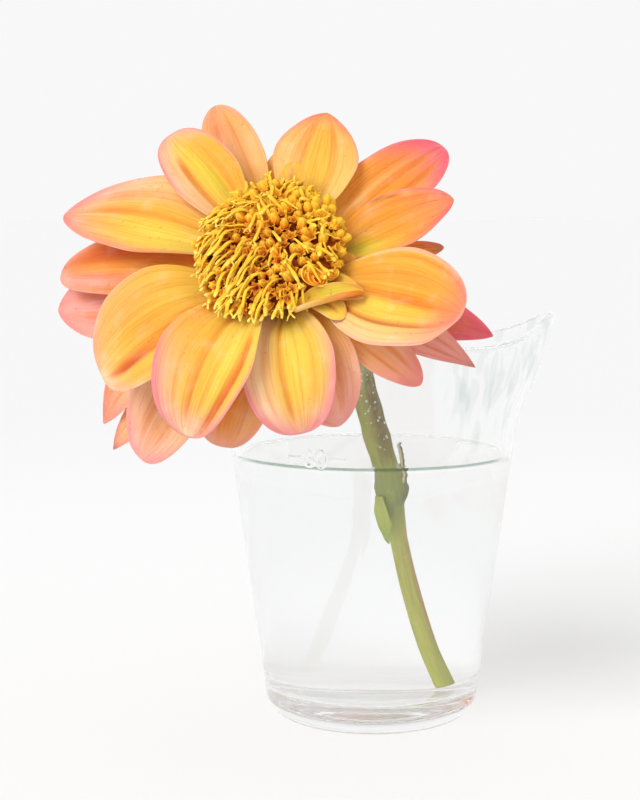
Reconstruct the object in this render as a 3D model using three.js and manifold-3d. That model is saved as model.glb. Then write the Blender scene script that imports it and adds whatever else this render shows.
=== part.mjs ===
// A semi-double dahlia bloom standing in a small pouring glass of water.
// Millimetres, +Z up. The origin is the middle of the glass's underside, the pouring lip
// points along +X, and the bloom leans over the rim on the -Y side.
import * as THREE from 'three';
import { mergeVertices } from 'three/addons/utils/BufferGeometryUtils.js';
import Module from 'manifold-3d';

const { PI, cos, sin, exp, abs, min, max } = Math;
const degree = PI / 180;

// Space left between two pieces that touch.
const gap = 0.3;

const glass = {
  rimHeight: 80.5,
  footRadius: 21.8,
  flare: 0.14,
  wall: 2.2,
  floorHeight: 6,
  outerCorner: 5.5,
  innerCorner: 5,
  lipStart: 62,
  lipReach: 5.4,
  lipRise: 5.5,
  lipSpread: 14,
  pinchAngle: 34,
  pinchSpread: 11,
  pinchDepth: 0.8,
  sides: 40,
};

const waterLevel = 56.5;

// The head's frame: `centre` is the middle of the ring where the petals root, and
// `facing` is the way the bloom looks.
const head = {
  centre: new THREE.Vector3(-18.2, -40, 95.6),
  facing: new THREE.Vector3(-0.22, -0.8, 0.55).normalize(),
};

const receptacle = { radius: 8.1, top: 2.2, bottom: -9.6, neck: 2.3 };
const disc = { radius: 14.3, foot: 6.2, base: 2.5, widest: 9, crown: 13.8 };

// The stem's middle line from the glass floor to the receptacle, with its radius there.
const stemStops = [
  { at: [11.2, 4, 7.1], radius: 1.5 },
  { at: [8.6, 2, 17], radius: 1.5 },
  { at: [6.2, -1.4, 29], radius: 1.5 },
  { at: [4.3, -8.6, 41], radius: 1.5 },
  { at: [3.3, -14.5, 48.5], radius: 2 },
  { at: [2.9, -17.2, 52], radius: 2.9 },
  { at: [2.3, -19.2, 55.5], radius: 2.4 },
  { at: [0.3, -22.6, 62.5], radius: 2.6 },
  { at: [-1.9, -25.8, 71], radius: 2.4 },
  { at: [-3.5, -28.3, 79], radius: 1.7 },
  { at: [-5.7, -28.1, 82.7], radius: 1.8 },
  { at: [-9.6, -26.9, 85.7], radius: 2 },
  { at: [-13.4, -27.1, 87.3], radius: 2.2 },
];
const stemSides = 10;
const stemSteps = 36;

// What every blade shares with its ring, in millimetres and degrees. `root` and `base` are the
// distance from the head's axis and the height above its centre where a blade starts; it leaves
// at `lift` above the head's plane and ends at `tip`. Its width is `claw` of the full one at the
// root and grows to the full one at `broad` of the length. Past `taper` of the length it narrows
// with the powers `round` and `point`. `cupRoot` and `cupTip` curl its edges up, and `bend`
// carries its tip to one side.
const ray = {
  root: 8.8, thickness: 0.5, claw: 0.28, broad: 0.55, taper: 0.45, round: 2.4, point: 0.5,
  cupRoot: 60, cupTip: 15, bend: 0, rows: 10, columns: 7,
};
const widening = 1.3;
// A blade is cut off square just before its outline would close to a point.
const bladeEnd = 0.985;
const innerBract = {
  ...ray, root: 7.7, thickness: 0.4, claw: 0.55, broad: 0.45, cupRoot: 40, cupTip: 20,
  length: 12, width: 6.6, lift: -17, tip: -44, base: -5.5, rows: 6, columns: 5,
};
const outerBract = {
  ...ray, root: 5.3, thickness: 0.6, claw: 0.5, broad: 0.7, cupRoot: 20, cupTip: 20, round: 3,
  length: 11, width: 5, lift: -18, tip: -84, base: -7.6, rows: 6, columns: 5,
};

// Azimuths turn from the head's right towards its top.
const frontPetals = [
  { azimuth: 19.5, length: 27, width: 13, lift: 24, tip: 3, base: 0.8, bend: 0.5, point: 0.65 },
  { azimuth: 75, length: 27.5, width: 18.5, lift: 22, tip: -20, base: 1.2, bend: 5.5, point: 0.8 },
  { azimuth: 133, length: 30.5, width: 13.5, lift: 32, tip: -18, base: 2.3 },
  {
    azimuth: 155, length: 37, width: 19.5, lift: 24, tip: -11, base: 0.4, bend: 9.5, round: 1.8,
    point: 0.65,
  },
  {
    azimuth: 212.5, length: 32, width: 23, lift: 36, tip: -35, base: 0.1, bend: 2, claw: 0.2,
    round: 3,
  },
  {
    azimuth: 251, length: 34, width: 20, lift: 54, tip: -70, base: 2, bend: -1.5, claw: 0.2,
    cupRoot: 55, round: 2.1, point: 0.6,
  },
  { azimuth: 286, length: 28.5, width: 18, lift: 45, tip: -66, base: 1, bend: -1, claw: 0.2 },
  {
    azimuth: 336.5, length: 32, width: 21, lift: 31, tip: -6, base: 1.7, bend: 3, claw: 0.2,
    broad: 0.65, cupRoot: 50, cupTip: 24,
  },
];
const middlePetals = [
  { azimuth: 44, length: 31, width: 16, lift: 14, tip: -8, base: -0.5, bend: 0.5 },
  { azimuth: 117.5, length: 36, width: 12, lift: 12, tip: -12, base: -0.5, point: 0.6 },
  { azimuth: 177, length: 38, width: 14.5, lift: 11, tip: -18, base: -0.8, bend: 1 },
  { azimuth: 262, length: 28.5, width: 15.5, lift: 26, tip: -66, base: -1, bend: -4 },
  { azimuth: 300, length: 26, width: 14.5, lift: 28, tip: -68, base: -0.5, bend: -2, point: 0.7 },
  { azimuth: 324.5, length: 26.3, width: 9.5, lift: 11, tip: -40, base: -1.5, bend: 1, point: 0.6 },
];
const backPetals = [
  { azimuth: 15.5, length: 22, width: 5, lift: 2, tip: -8, base: -2 },
  { azimuth: 190, length: 39, width: 20, lift: 2, tip: -16, base: -2.8, bend: -4, point: 0.7 },
  {
    azimuth: 199.5, length: 47, width: 15, lift: -6, tip: -61, base: -4.4, root: 8.2, bend: 3,
    claw: 0.2, round: 1.8, point: 0.8,
  },
  { azimuth: 229.5, length: 36.5, width: 19, lift: 1, tip: -43, base: -2.9 },
  {
    azimuth: 341, length: 32, width: 10.5, lift: 2, tip: -36, base: -2.6, round: 1.4, point: 0.9,
  },
  {
    azimuth: 353, length: 32.5, width: 12, lift: -7, tip: -28, base: -4, root: 8.4, round: 1.7,
    point: 0.8,
  },
  {
    azimuth: 217, length: 46, width: 8.5, lift: -14, tip: -54, base: -4.6, root: 8.2, bend: -4.5,
    claw: 0.2, round: 1.5, point: 0.8,
  },
];
const petaloids = [
  { azimuth: 309, length: 15, width: 5, lift: 54, tip: -10, base: 2.9, claw: 0.4 },
  { azimuth: 332, length: 12.5, width: 5, lift: 42, tip: 0, base: 3.9, claw: 0.4 },
];
const innerBracts = { count: 8, firstAzimuth: 10 };
const outerBracts = { count: 5, firstAzimuth: 54 };

// The small leaf that clings to the stem's node, hanging down along its front left side.
const leaf = {
  ...ray, root: 3.25, base: 0, thickness: 0.5, claw: 0.5, broad: 0.4, cupRoot: 50, cupTip: 30,
  round: 1.3, point: 0.8, azimuth: 215, length: 11, width: 4.6, lift: -104, tip: -116, bend: -2.5,
  rows: 8, columns: 5,
};
const leafHeight = 51.6;

const colours = {
  glass: 0xe4ebe8,
  water: 0xeff4f3,
  stem: 0x83933f,
  leaf: 0x7f9a48,
  receptacle: 0x7d9448,
  disc: 0xd8932b,
  frontPetal: 0xf5bd55,
  middlePetal: 0xf09a62,
  backPetal: 0xec7a6c,
  petaloid: 0xf0b04a,
  innerBract: 0xb9b07a,
  outerBract: 0x6f9146,
};

function material(colour, roughness = 0.6) {
  return new THREE.MeshStandardMaterial({ color: colour, roughness, metalness: 0 });
}

// A closed mesh from points [x, y, z] and faces that list three points each.
function geometryOf(points, faces) {
  const geometry = new THREE.BufferGeometry();
  geometry.setAttribute('position', new THREE.Float32BufferAttribute(points.flat(), 3));
  geometry.setIndex(faces.flat());
  return geometry;
}

// Two faces of the four-sided cell a, b, c, d.
function cell(a, b, c, d) {
  return [[a, b, c], [a, c, d]];
}

// Rings of equal length joined one to the next, closed at each end by a fan to one point.
function skin(rings, first, last) {
  const sides = rings[0].length;
  const points = [first, ...rings.flat(), last];
  const index = (ring, side) => 1 + ring * sides + (side % sides);
  const faces = [];
  for (let side = 0; side < sides; side += 1) {
    faces.push([0, index(0, side + 1), index(0, side)]);
    for (let ring = 0; ring + 1 < rings.length; ring += 1) {
      faces.push(...cell(index(ring, side), index(ring, side + 1),
        index(ring + 1, side + 1), index(ring + 1, side)));
    }
    const end = rings.length - 1;
    faces.push([points.length - 1, index(end, side), index(end, side + 1)]);
  }
  return geometryOf(points, faces);
}

// A profile of [radius, height] pairs that starts and ends on the axis, turned about Z.
// `shift` may move each point by its radius, height and angle.
function turned(profile, sides, shift = (radius, height) => [radius, height]) {
  const place = ([radius, height], angle) => {
    const [r, z] = shift(radius, height, angle);
    return [r * cos(angle), r * sin(angle), z];
  };
  const rings = profile.slice(1, -1).map((stop) => Array.from({ length: sides },
    (_, side) => place(stop, side / sides * 2 * PI)));
  return skin(rings, [0, 0, profile[0][1]], [0, 0, profile.at(-1)[1]]);
}

// Points on an arc about (radius, height), in [radius, height] pairs.
function arc(radius, height, size, from, to, steps) {
  return Array.from({ length: steps + 1 }, (_, step) => {
    const angle = (from + (to - from) * step / steps) * degree;
    return [radius + size * cos(angle), height + size * sin(angle)];
  });
}

function outerRadius(height) {
  return glass.footRadius + glass.flare * height;
}

function innerRadius(height) {
  return outerRadius(height) - glass.wall;
}

// The pouring lip: the wall leans out and up around +X, and is pinched in on both sides of it.
function lip(radius, height, angle) {
  if (height <= glass.lipStart) return [radius, height];
  const climb = THREE.MathUtils.smoothstep(height, glass.lipStart, glass.rimHeight);
  const turn = abs(Math.atan2(sin(angle), cos(angle))) / degree;
  const spread = exp(-((turn / glass.lipSpread) ** 2) / 2);
  const pinch = exp(-(((turn - glass.pinchAngle) / glass.pinchSpread) ** 2) / 2);
  const out = (glass.lipReach * spread - glass.pinchDepth * pinch) * climb;
  return [radius + out, height + glass.lipRise * spread * climb ** 2];
}

function glassGeometry() {
  const { outerCorner, innerCorner, floorHeight, lipStart, rimHeight, wall } = glass;
  const innerTop = floorHeight + innerCorner;
  const bead = wall / 2;
  const beadHeight = rimHeight - bead;
  const beadRadius = outerRadius(beadHeight) - bead;
  const wallHeights = [30, 50, lipStart, 66, 70, 74, 77];
  const outside = wallHeights.map((height) => [outerRadius(height), height]);
  const inside = wallHeights.map((height) => [innerRadius(height), height]).reverse();
  return turned([
    [0, 0],
    ...arc(outerRadius(outerCorner) - outerCorner, outerCorner, outerCorner, -90, 0, 4),
    ...outside,
    ...arc(beadRadius, beadHeight, bead, 0, 180, 4),
    ...inside,
    ...arc(innerRadius(innerTop) - innerCorner, innerTop, innerCorner, 0, -90, 4),
    [0, floorHeight],
  ], glass.sides, lip);
}

// The height and radius of a blade's middle line at part s of its length, and its slope there.
function spine(blade, s) {
  const start = blade.lift * degree;
  const turn = (blade.tip - blade.lift) * degree;
  const slope = start + turn * s;
  const scale = blade.length / turn;
  return {
    slope,
    radial: blade.root + scale * (sin(slope) - sin(start)),
    normal: blade.base + scale * (cos(start) - cos(slope)),
  };
}

function halfWidth(blade, s) {
  const widen = sin(min(s / blade.broad, 1) * PI / 2) ** widening;
  const past = max((s - blade.taper) / (1 - blade.taper), 0);
  const narrow = (1 - past ** blade.round) ** blade.point;
  return blade.width / 2 * (blade.claw + (1 - blade.claw) * widen) * narrow;
}

// A point of a blade's middle surface, with s along it and t from -1 to 1 across. The section is
// an arc that turns by the curl on each side. +X is the way the blade grows, +Z the bloom's way.
function bladePoint(blade, s, t) {
  const { slope, radial, normal } = spine(blade, s);
  const half = halfWidth(blade, s);
  const curl = (blade.cupRoot * (1 - s) ** 2 + blade.cupTip * s) * degree;
  const across = sin(curl * t) / curl * half;
  const rise = (1 - cos(curl * t)) / curl * half;
  return new THREE.Vector3(
    radial - rise * sin(slope),
    across + blade.bend * s ** 2,
    normal + rise * cos(slope),
  );
}

// A blade with its thickness: the middle surface moved out to both sides and closed at the edge.
function bladeGeometry(blade, swell = 0) {
  const { rows, columns } = blade;
  const step = 1e-4;
  const sides = [[], []];
  for (let row = 0; row < rows; row += 1) {
    const s = bladeEnd * sin(row / (rows - 1) * PI / 2);
    for (let column = 0; column < columns; column += 1) {
      const t = -1 + 2 * column / (columns - 1);
      const point = bladePoint(blade, s, t);
      const along = bladePoint(blade, s + step, t).sub(point);
      const across = bladePoint(blade, s, t + step).sub(point);
      const out = along.cross(across).setLength(blade.thickness / 2 + swell);
      sides[0].push(point.clone().add(out).toArray());
      sides[1].push(point.clone().sub(out).toArray());
    }
  }
  const size = rows * columns;
  const faces = [];
  for (let row = 0; row + 1 < rows; row += 1) {
    for (let column = 0; column + 1 < columns; column += 1) {
      const a = row * columns + column;
      const corners = [a, a + columns, a + columns + 1, a + 1];
      faces.push(...cell(...corners));
      faces.push(...cell(...corners.map((corner) => corner + size).reverse()));
    }
  }
  const edge = [];
  for (let column = 0; column < columns; column += 1) edge.push(column);
  for (let row = 1; row < rows; row += 1) edge.push(row * columns + columns - 1);
  for (let column = columns - 2; column >= 0; column -= 1) edge.push((rows - 1) * columns + column);
  for (let row = rows - 2; row > 0; row -= 1) edge.push(row * columns);
  edge.forEach((here, i) => {
    const next = edge[(i + 1) % edge.length];
    faces.push(...cell(here, next, next + size, here + size));
  });
  return geometryOf([...sides[0], ...sides[1]], faces);
}

function smoothCurve(stops) {
  return new THREE.CatmullRomCurve3(stops.map((stop) => new THREE.Vector3(...stop)));
}

// The stem ends `gap` short of the receptacle, square to the head's axis.
const stemEnd = head.centre.clone().addScaledVector(head.facing, receptacle.bottom - gap);
const stemCurve = smoothCurve([
  ...stemStops.map((stop) => stop.at),
  stemEnd.clone().addScaledVector(head.facing, -3).toArray(),
  stemEnd.toArray(),
]);

// The stem's radius at a height, read between its stops.
function stemRadius(height) {
  const next = stemStops.findIndex((stop) => stop.at[2] > height);
  if (next < 0) return receptacle.neck - 0.1;
  if (next === 0) return stemStops[0].radius;
  const [low, high] = [stemStops[next - 1], stemStops[next]];
  const part = (height - low.at[2]) / (high.at[2] - low.at[2]);
  return THREE.MathUtils.lerp(low.radius, high.radius, part);
}

function stemGeometry(swell = 0) {
  const frames = stemCurve.computeFrenetFrames(stemSteps, false);
  const rings = frames.tangents.map((_, step) => {
    const middle = stemCurve.getPointAt(step / stemSteps);
    const radius = stemRadius(middle.z) + swell;
    if (step === 0) middle.addScaledVector(frames.tangents[0], -swell);
    return Array.from({ length: stemSides }, (__, side) => {
      const angle = side / stemSides * 2 * PI;
      return middle.clone()
        .addScaledVector(frames.normals[step], radius * cos(angle))
        .addScaledVector(frames.binormals[step], radius * sin(angle))
        .toArray();
    });
  });
  const first = stemCurve.getPointAt(0).addScaledVector(frames.tangents[0], -swell);
  const last = stemCurve.getPointAt(1).addScaledVector(frames.tangents.at(-1), swell);
  return skin(rings, first.toArray(), last.toArray());
}

function receptacleGeometry() {
  const { radius, top, bottom, neck } = receptacle;
  return turned([
    [0, bottom], [neck, bottom], [neck + 0.5, bottom + 1.1], [radius * 0.55, bottom + 2.4],
    [radius * 0.8, bottom + 4], [radius * 0.95, bottom + 5.6], [radius, bottom + 7],
    [radius, top - 0.3], [radius - 0.4, top], [0, top],
  ], 24);
}

function discGeometry() {
  const { radius, foot, base, widest, crown } = disc;
  const dome = arc(0, 0, 1, 8, 82, 6).map(([across, up]) => [
    radius * across, widest + (crown - widest) * up,
  ]);
  return turned([
    [0, base], [foot, base], [foot + 0.4, base + 1], [radius - 0.5, widest - 0.4], ...dome,
    [0, crown],
  ], 24);
}

const wasm = await Module();
wasm.setup();

function solidOf(geometry) {
  const bare = geometry.clone();
  for (const name of Object.keys(bare.attributes)) {
    if (name !== 'position') bare.deleteAttribute(name);
  }
  const merged = mergeVertices(bare, 1e-4);
  return new wasm.Manifold(new wasm.Mesh({
    numProp: 3,
    vertProperties: new Float32Array(merged.attributes.position.array),
    triVerts: new Uint32Array(merged.index.array),
  }));
}

function geometryFrom(solid) {
  const mesh = solid.getMesh();
  const geometry = new THREE.BufferGeometry();
  geometry.setAttribute('position', new THREE.Float32BufferAttribute(mesh.vertProperties, 3));
  geometry.setIndex([...mesh.triVerts]);
  return geometry;
}

// The leaf's frame: its root is at the stem's middle line and it grows out level from there.
const leafFrame = new THREE.Group();
const leafPart = stemStops.findIndex((stop) => stop.at[2] > leafHeight);
leafFrame.position.set(...stemStops[leafPart].at);
leafFrame.position.z = leafHeight;
leafFrame.rotation.z = leaf.azimuth * degree;
leafFrame.updateMatrix();

// The water fills the glass up to its level, cut clear of the stem and the leaf.
function waterGeometry() {
  const floor = glass.floorHeight + gap;
  const corner = glass.innerCorner - gap;
  const cornerTop = glass.floorHeight + glass.innerCorner;
  const body = turned([
    [0, floor],
    ...arc(innerRadius(cornerTop) - glass.innerCorner, cornerTop, corner, -90, 0, 4),
    [innerRadius(30) - gap, 30],
    [innerRadius(waterLevel) - gap, waterLevel],
    [0, waterLevel],
  ], glass.sides);
  const length = leaf.length + 4 * gap;
  const leafShape = bladeGeometry({
    ...leaf,
    root: leaf.root - 2 * gap * cos(leaf.lift * degree),
    base: leaf.base - 2 * gap * sin(leaf.lift * degree),
    width: leaf.width + 2 * gap,
    length,
    bend: leaf.bend * (length / (leaf.length + 2 * gap)) ** 2,
  }, gap).applyMatrix4(leafFrame.matrix);
  return geometryFrom(solidOf(body)
    .subtract(solidOf(stemGeometry(gap)))
    .subtract(solidOf(leafShape)));
}

const flower = new THREE.Group();

function add(parent, name, geometry, finish) {
  const mesh = new THREE.Mesh(geometry, finish);
  mesh.name = name;
  parent.add(mesh);
  return mesh;
}

add(flower, 'glass_jug', glassGeometry(), material(colours.glass, 0.05));
add(flower, 'water', waterGeometry(), material(colours.water, 0.05));
add(flower, 'flower_stem', stemGeometry(), material(colours.stem));
add(leafFrame, 'stem_leaf', bladeGeometry(leaf), material(colours.leaf));
flower.add(leafFrame);

// The head's +Z is its facing and its +Y leans as near to upright as that allows.
const headFrame = new THREE.Group();
const headUp = new THREE.Vector3(0, 0, 1).addScaledVector(head.facing, -head.facing.z).normalize();
const headRight = new THREE.Vector3().crossVectors(headUp, head.facing);
headFrame.applyMatrix4(new THREE.Matrix4().makeBasis(headRight, headUp, head.facing));
headFrame.position.copy(head.centre);
flower.add(headFrame);

add(headFrame, 'receptacle', receptacleGeometry(), material(colours.receptacle));
add(headFrame, 'disc_florets', discGeometry(), material(colours.disc, 0.8));

function addBlades(name, shared, blades, colour) {
  blades.forEach((blade, i) => {
    const mesh = add(headFrame, `${name}_${i + 1}`, bladeGeometry({ ...shared, ...blade }),
      material(colour));
    mesh.rotation.z = blade.azimuth * degree;
  });
}

function evenly({ count, firstAzimuth }) {
  return Array.from({ length: count }, (_, i) => ({ azimuth: firstAzimuth + i * 360 / count }));
}

addBlades('front_petal', ray, frontPetals, colours.frontPetal);
addBlades('middle_petal', ray, middlePetals, colours.middlePetal);
addBlades('back_petal', ray, backPetals, colours.backPetal);
addBlades('inner_petaloid', ray, petaloids, colours.petaloid);
addBlades('inner_bract', innerBract, evenly(innerBracts), colours.innerBract);
addBlades('outer_bract', outerBract, evenly(outerBracts), colours.outerBract);

export default flower;
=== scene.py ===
# A semi-double dahlia leaning out of a small pouring glass of water.
# Shapes are worked out in millimetres and go into their meshes in metres.
import bpy
import numpy as np
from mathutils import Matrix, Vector


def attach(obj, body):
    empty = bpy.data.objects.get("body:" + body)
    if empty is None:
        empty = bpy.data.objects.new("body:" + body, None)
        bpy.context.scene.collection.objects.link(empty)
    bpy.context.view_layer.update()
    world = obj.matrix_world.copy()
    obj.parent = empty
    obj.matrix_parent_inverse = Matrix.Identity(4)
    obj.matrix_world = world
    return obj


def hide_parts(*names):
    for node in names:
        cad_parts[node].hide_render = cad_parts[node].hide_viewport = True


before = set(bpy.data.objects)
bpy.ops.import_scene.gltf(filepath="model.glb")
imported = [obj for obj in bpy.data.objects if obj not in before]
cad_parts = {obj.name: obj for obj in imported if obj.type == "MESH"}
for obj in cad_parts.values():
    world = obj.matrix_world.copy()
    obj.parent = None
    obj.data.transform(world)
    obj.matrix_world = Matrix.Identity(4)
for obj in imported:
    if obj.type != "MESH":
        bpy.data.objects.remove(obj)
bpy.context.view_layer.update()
metresPerMillimetre = 0.001


def ramp(low, high, value):
    # 0 at low, 1 at high, with an easy start and end (three squares less two cubes)
    part = np.clip((value - low) / (high - low), 0, 1)
    return part * part * (3 - 2 * part)


def bell(value, centre, reach):
    # 1 at the centre, falling to 0.37 a reach away on either side
    return np.exp(-((value - centre) / reach) ** 2)


def mixed(first, second, share):
    # first where share is 0 and second where it is 1
    share = np.asarray(share)[..., None]
    return first * (1 - share) + second * share


def unit(vectors):
    return vectors / np.linalg.norm(vectors, axis=-1, keepdims=True)


def colour(red, green, blue):
    # a screen colour of 0 to 255 as linear light
    part = np.array([red, green, blue]) / 255
    return np.where(part <= 0.04045, part / 12.92, ((part + 0.055) / 1.055) ** 2.4)


def cells(rows, columns, wrap=False):
    # the four corners of every cell of a grid, which may close round its columns
    row = np.arange(rows - 1)[:, None]
    side = np.arange(columns if wrap else columns - 1)[None, :]
    here = row * columns + side
    right = row * columns + (side + 1) % columns
    return np.stack([here, right, right + columns, here + columns], -1).reshape(-1, 4)


def fan(pole, ring):
    # triangles from one point to every step of a closed ring of vertex numbers
    return np.stack([np.full(len(ring), pole), ring, np.roll(ring, -1)], -1)


def tubeFaces(rows, sides):
    # a closed tube's cells, and the fans to its two ends, whose points follow the rings
    ring = np.arange(sides)
    first = fan(rows * sides, ring)[:, ::-1]
    last = fan(rows * sides + 1, ring + (rows - 1) * sides)
    return [cells(rows, sides, wrap=True), np.concatenate([first, last])]


def volume(points, faces):
    # a sixth of the sum of each triangle's triple product
    corners = points[faces]
    total = 0.0
    for i in range(1, faces.shape[1] - 1):
        turned = np.cross(corners[:, i], corners[:, i + 1])
        total += np.einsum("ij,ij->", corners[:, 0], turned) / 6
    return total


def addPiece(name, material, slotName, points, faces, uv=None, paint=None, nodes=()):
    # faces is a list of arrays, one for each count of corners; a shell that is inside out is turned
    if sum(volume(points, group) for group in faces) < 0:
        faces = [group[:, ::-1] for group in faces]
    mesh = bpy.data.meshes.new(name)
    rings = [face for group in faces for face in group.tolist()]
    mesh.from_pydata((points * metresPerMillimetre).tolist(), [], rings)
    mesh.shade_smooth()
    loops = np.empty(len(mesh.loops), dtype=np.int32)
    mesh.loops.foreach_get("vertex_index", loops)
    if uv is not None:
        layer = mesh.uv_layers.new(name="grain")
        layer.data.foreach_set("uv", uv[loops].astype(np.float32).ravel())
    if paint is not None:
        rgba = np.concatenate([paint, np.ones((len(paint), 1))], 1)
        attribute = mesh.attributes.new("paint", "FLOAT_COLOR", "POINT")
        attribute.data.foreach_set("color", rgba.astype(np.float32).ravel())
    mesh.materials.append(material)
    mesh.update()
    piece = bpy.data.objects.new(name, mesh)
    bpy.context.scene.collection.objects.link(piece)
    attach(piece, "root")
    if nodes:
        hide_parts(*nodes)


def turnedPiece(profile, angles, shift=None):
    # a profile of radius and height that starts and ends on the axis, turned about Z
    rings = profile[1:-1]
    radius, height = np.broadcast_arrays(rings[:, 0, None], rings[:, 1, None] + 0 * angles)
    turn = np.broadcast_to(angles, height.shape)
    if shift:
        radius, height = shift(radius, height, turn)
    grid = np.stack([radius * np.cos(turn), radius * np.sin(turn), height], -1)
    ends = np.array([[0, 0, profile[0, 1]], [0, 0, profile[-1, 1]]])
    return np.concatenate([grid.reshape(-1, 3), ends]), tubeFaces(*grid.shape[:2])


def arc(radius, height, size, start, end, steps):
    # points on a circle round (radius, height), angles in degrees
    angle = np.radians(np.linspace(start, end, steps))
    return np.stack([radius + size * np.cos(angle), height + size * np.sin(angle)], -1)


def curveThrough(stops, count):
    # a smooth curve through the stops (Catmull-Rom with knots at the square root of the spacing),
    # by blending the straight lines between its four nearest stops three times over
    first, last = 2 * stops[0] - stops[1], 2 * stops[-1] - stops[-2]
    padded = np.concatenate([[first], stops, [last]])
    knots = np.concatenate([[0], np.cumsum(np.linalg.norm(np.diff(padded, axis=0), axis=1) ** 0.5)])
    when = np.linspace(knots[1], knots[-2], count)
    cell = np.clip(np.searchsorted(knots, when, side="right") - 1, 1, len(stops) - 1)
    knot = [knots[cell + i][:, None] for i in (-1, 0, 1, 2)]
    stop = [padded[cell + i] for i in (-1, 0, 1, 2)]
    at = when[:, None]

    def between(low, high, lowKnot, highKnot):
        return (low * (highKnot - at) + high * (at - lowKnot)) / (highKnot - lowKnot)

    lines = [between(stop[i], stop[i + 1], knot[i], knot[i + 1]) for i in range(3)]
    bends = [between(lines[i], lines[i + 1], knot[i], knot[i + 2]) for i in range(2)]
    return between(bends[0], bends[1], knot[1], knot[2])


def plane(first, second, along, across):
    # points of a plane through the origin, from their measures along its two directions
    return first * along[..., None] + second * across[..., None]


def tubeAlong(path, sides, swell):
    # rings square to a path, without twist, and its two ends; swell gives the radii from the angles
    # round a ring and the directions outward. The last array says how far each point faces right
    around = np.linspace(0, 2 * np.pi, sides, endpoint=False)
    tangent = unit(np.gradient(path, axis=0))
    side = unit(np.cross(tangent, [0.35, 0.93, 0.1]))
    out = plane(side[:, None], np.cross(tangent, side)[:, None], np.cos(around), np.sin(around))
    rings = path[:, None] + swell(around, out)[..., None] * out
    points = np.concatenate([rings.reshape(-1, 3), path[[0, -1]]])
    return points, tubeFaces(len(path), sides), np.append(out[..., 0], [0, 0])


def manyTubes(grid, ends):
    # closed tubes, from each one's rings of points and its two end points
    count, rows, sides = grid.shape[:3]
    points = np.concatenate([grid.reshape(count, -1, 3), ends], 1)
    step = (np.arange(count) * points.shape[1])[:, None, None]
    faces = [(group[None] + step).reshape(-1, group.shape[1]) for group in tubeFaces(rows, sides)]
    return points.reshape(-1, 3), faces


def allRound(step):
    # angles of a full turn, a step of so many degrees apart
    return np.radians(np.arange(0, 360, step))


class Signal:
    # a node's output, so that an expression on it adds its Math nodes
    def __init__(self, surface, socket):
        self.surface, self.socket = surface, socket

    def __add__(self, other):
        return self.surface.sum("ADD", self, other)

    def __mul__(self, other):
        return self.surface.sum("MULTIPLY", self, other)

    __radd__ = __add__
    __rmul__ = __mul__


class Surface:
    # a material, or the world, and its nodes
    def __init__(self, owner):
        self.owner = owner
        owner.use_nodes = True
        self.tree = owner.node_tree
        self.tree.nodes.clear()

    def node(self, kind, settings=None, inputs=(), output=0):
        # inputs is a list in the sockets' order, or a dictionary by socket name or number
        made = self.tree.nodes.new(kind)
        for key, value in (settings or {}).items():
            if key == "stops":
                ladder = made.color_ramp.elements
                while len(ladder) < len(value):
                    ladder.new(0.5)
                for rung, (place, shade) in zip(ladder, value):
                    rung.position = place
                    rung.color = (*shade, 1)
            else:
                setattr(made, key, value)
        pairs = inputs.items() if isinstance(inputs, dict) else enumerate(inputs)
        for key, value in pairs:
            socket = made.inputs[key]
            if isinstance(value, Signal):
                self.tree.links.new(value.socket, socket)
            else:
                socket.default_value = value
        return Signal(self, made.outputs[output])

    def sum(self, operation, first, second=0.0):
        return self.node("ShaderNodeMath", {"operation": operation}, [first, second])

    def ramp(self, low, high, value):
        settings = {"interpolation_type": "SMOOTHSTEP"}
        return self.node("ShaderNodeMapRange", settings, [value, low, high, 0.0, 1.0])

    def blend(self, kind, share, first, second):
        # a colour mix: MIX, MULTIPLY and so on
        first, second = [x if isinstance(x, Signal) else (*x, 1) for x in (first, second)]
        return self.node("ShaderNodeMix", {"data_type": "RGBA", "blend_type": kind},
                         {0: share, 6: first, 7: second}, output=2)

    def place(self, scale=(1, 1, 1)):
        at = self.node("ShaderNodeTexCoord", output=3)
        return self.node("ShaderNodeVectorMath", {"operation": "MULTIPLY"}, [at, scale])

    def axes(self):
        return [self.node("ShaderNodeSeparateXYZ", {}, [self.place()], output=i) for i in range(3)]

    def grain(self, scale):
        # the piece's own map: x runs along it and y across it
        at = self.node("ShaderNodeUVMap", {"uv_map": "grain"})
        return self.node("ShaderNodeVectorMath", {"operation": "MULTIPLY"}, [at, (*scale, 1)])

    def noise(self, where, scale, detail=2.0, roughness=0.5):
        inputs = {"Vector": where, "Scale": scale, "Detail": detail, "Roughness": roughness}
        return self.node("ShaderNodeTexNoise", {}, inputs)

    def painted(self):
        return self.node("ShaderNodeAttribute", {"attribute_name": "paint"})

    def relief(self, height, distance, strength):
        inputs = {"Strength": strength, "Distance": distance, "Height": height}
        return self.node("ShaderNodeBump", {}, inputs)

    def skin(self, tone, uneven, height, own):
        # a matt skin that some light passes through; uneven is added to its roughness
        sheen, sheenRoughness = own.get("sheen", (0.0, 0.5))
        return self.finish(self.node("ShaderNodeBsdfPrincipled", {}, {
            "Base Color": tone, "Roughness": uneven + own["roughness"],
            "Normal": self.relief(height, *own["relief"]), "Subsurface Weight": own["glow"],
            "Subsurface Radius": own["glowTint"], "Subsurface Scale": own["glowReach"],
            "Specular IOR Level": own["gloss"], "Sheen Weight": sheen, "Sheen Roughness": sheenRoughness,
        }))

    def finish(self, shader):
        isWorld = isinstance(self.owner, bpy.types.World)
        made = self.tree.nodes.new("ShaderNodeOutputWorld" if isWorld else "ShaderNodeOutputMaterial")
        self.tree.links.new(shader.socket, made.inputs["Surface"])
        return self.owner


def newSurface(name):
    return Surface(bpy.data.materials.new(name))


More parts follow.
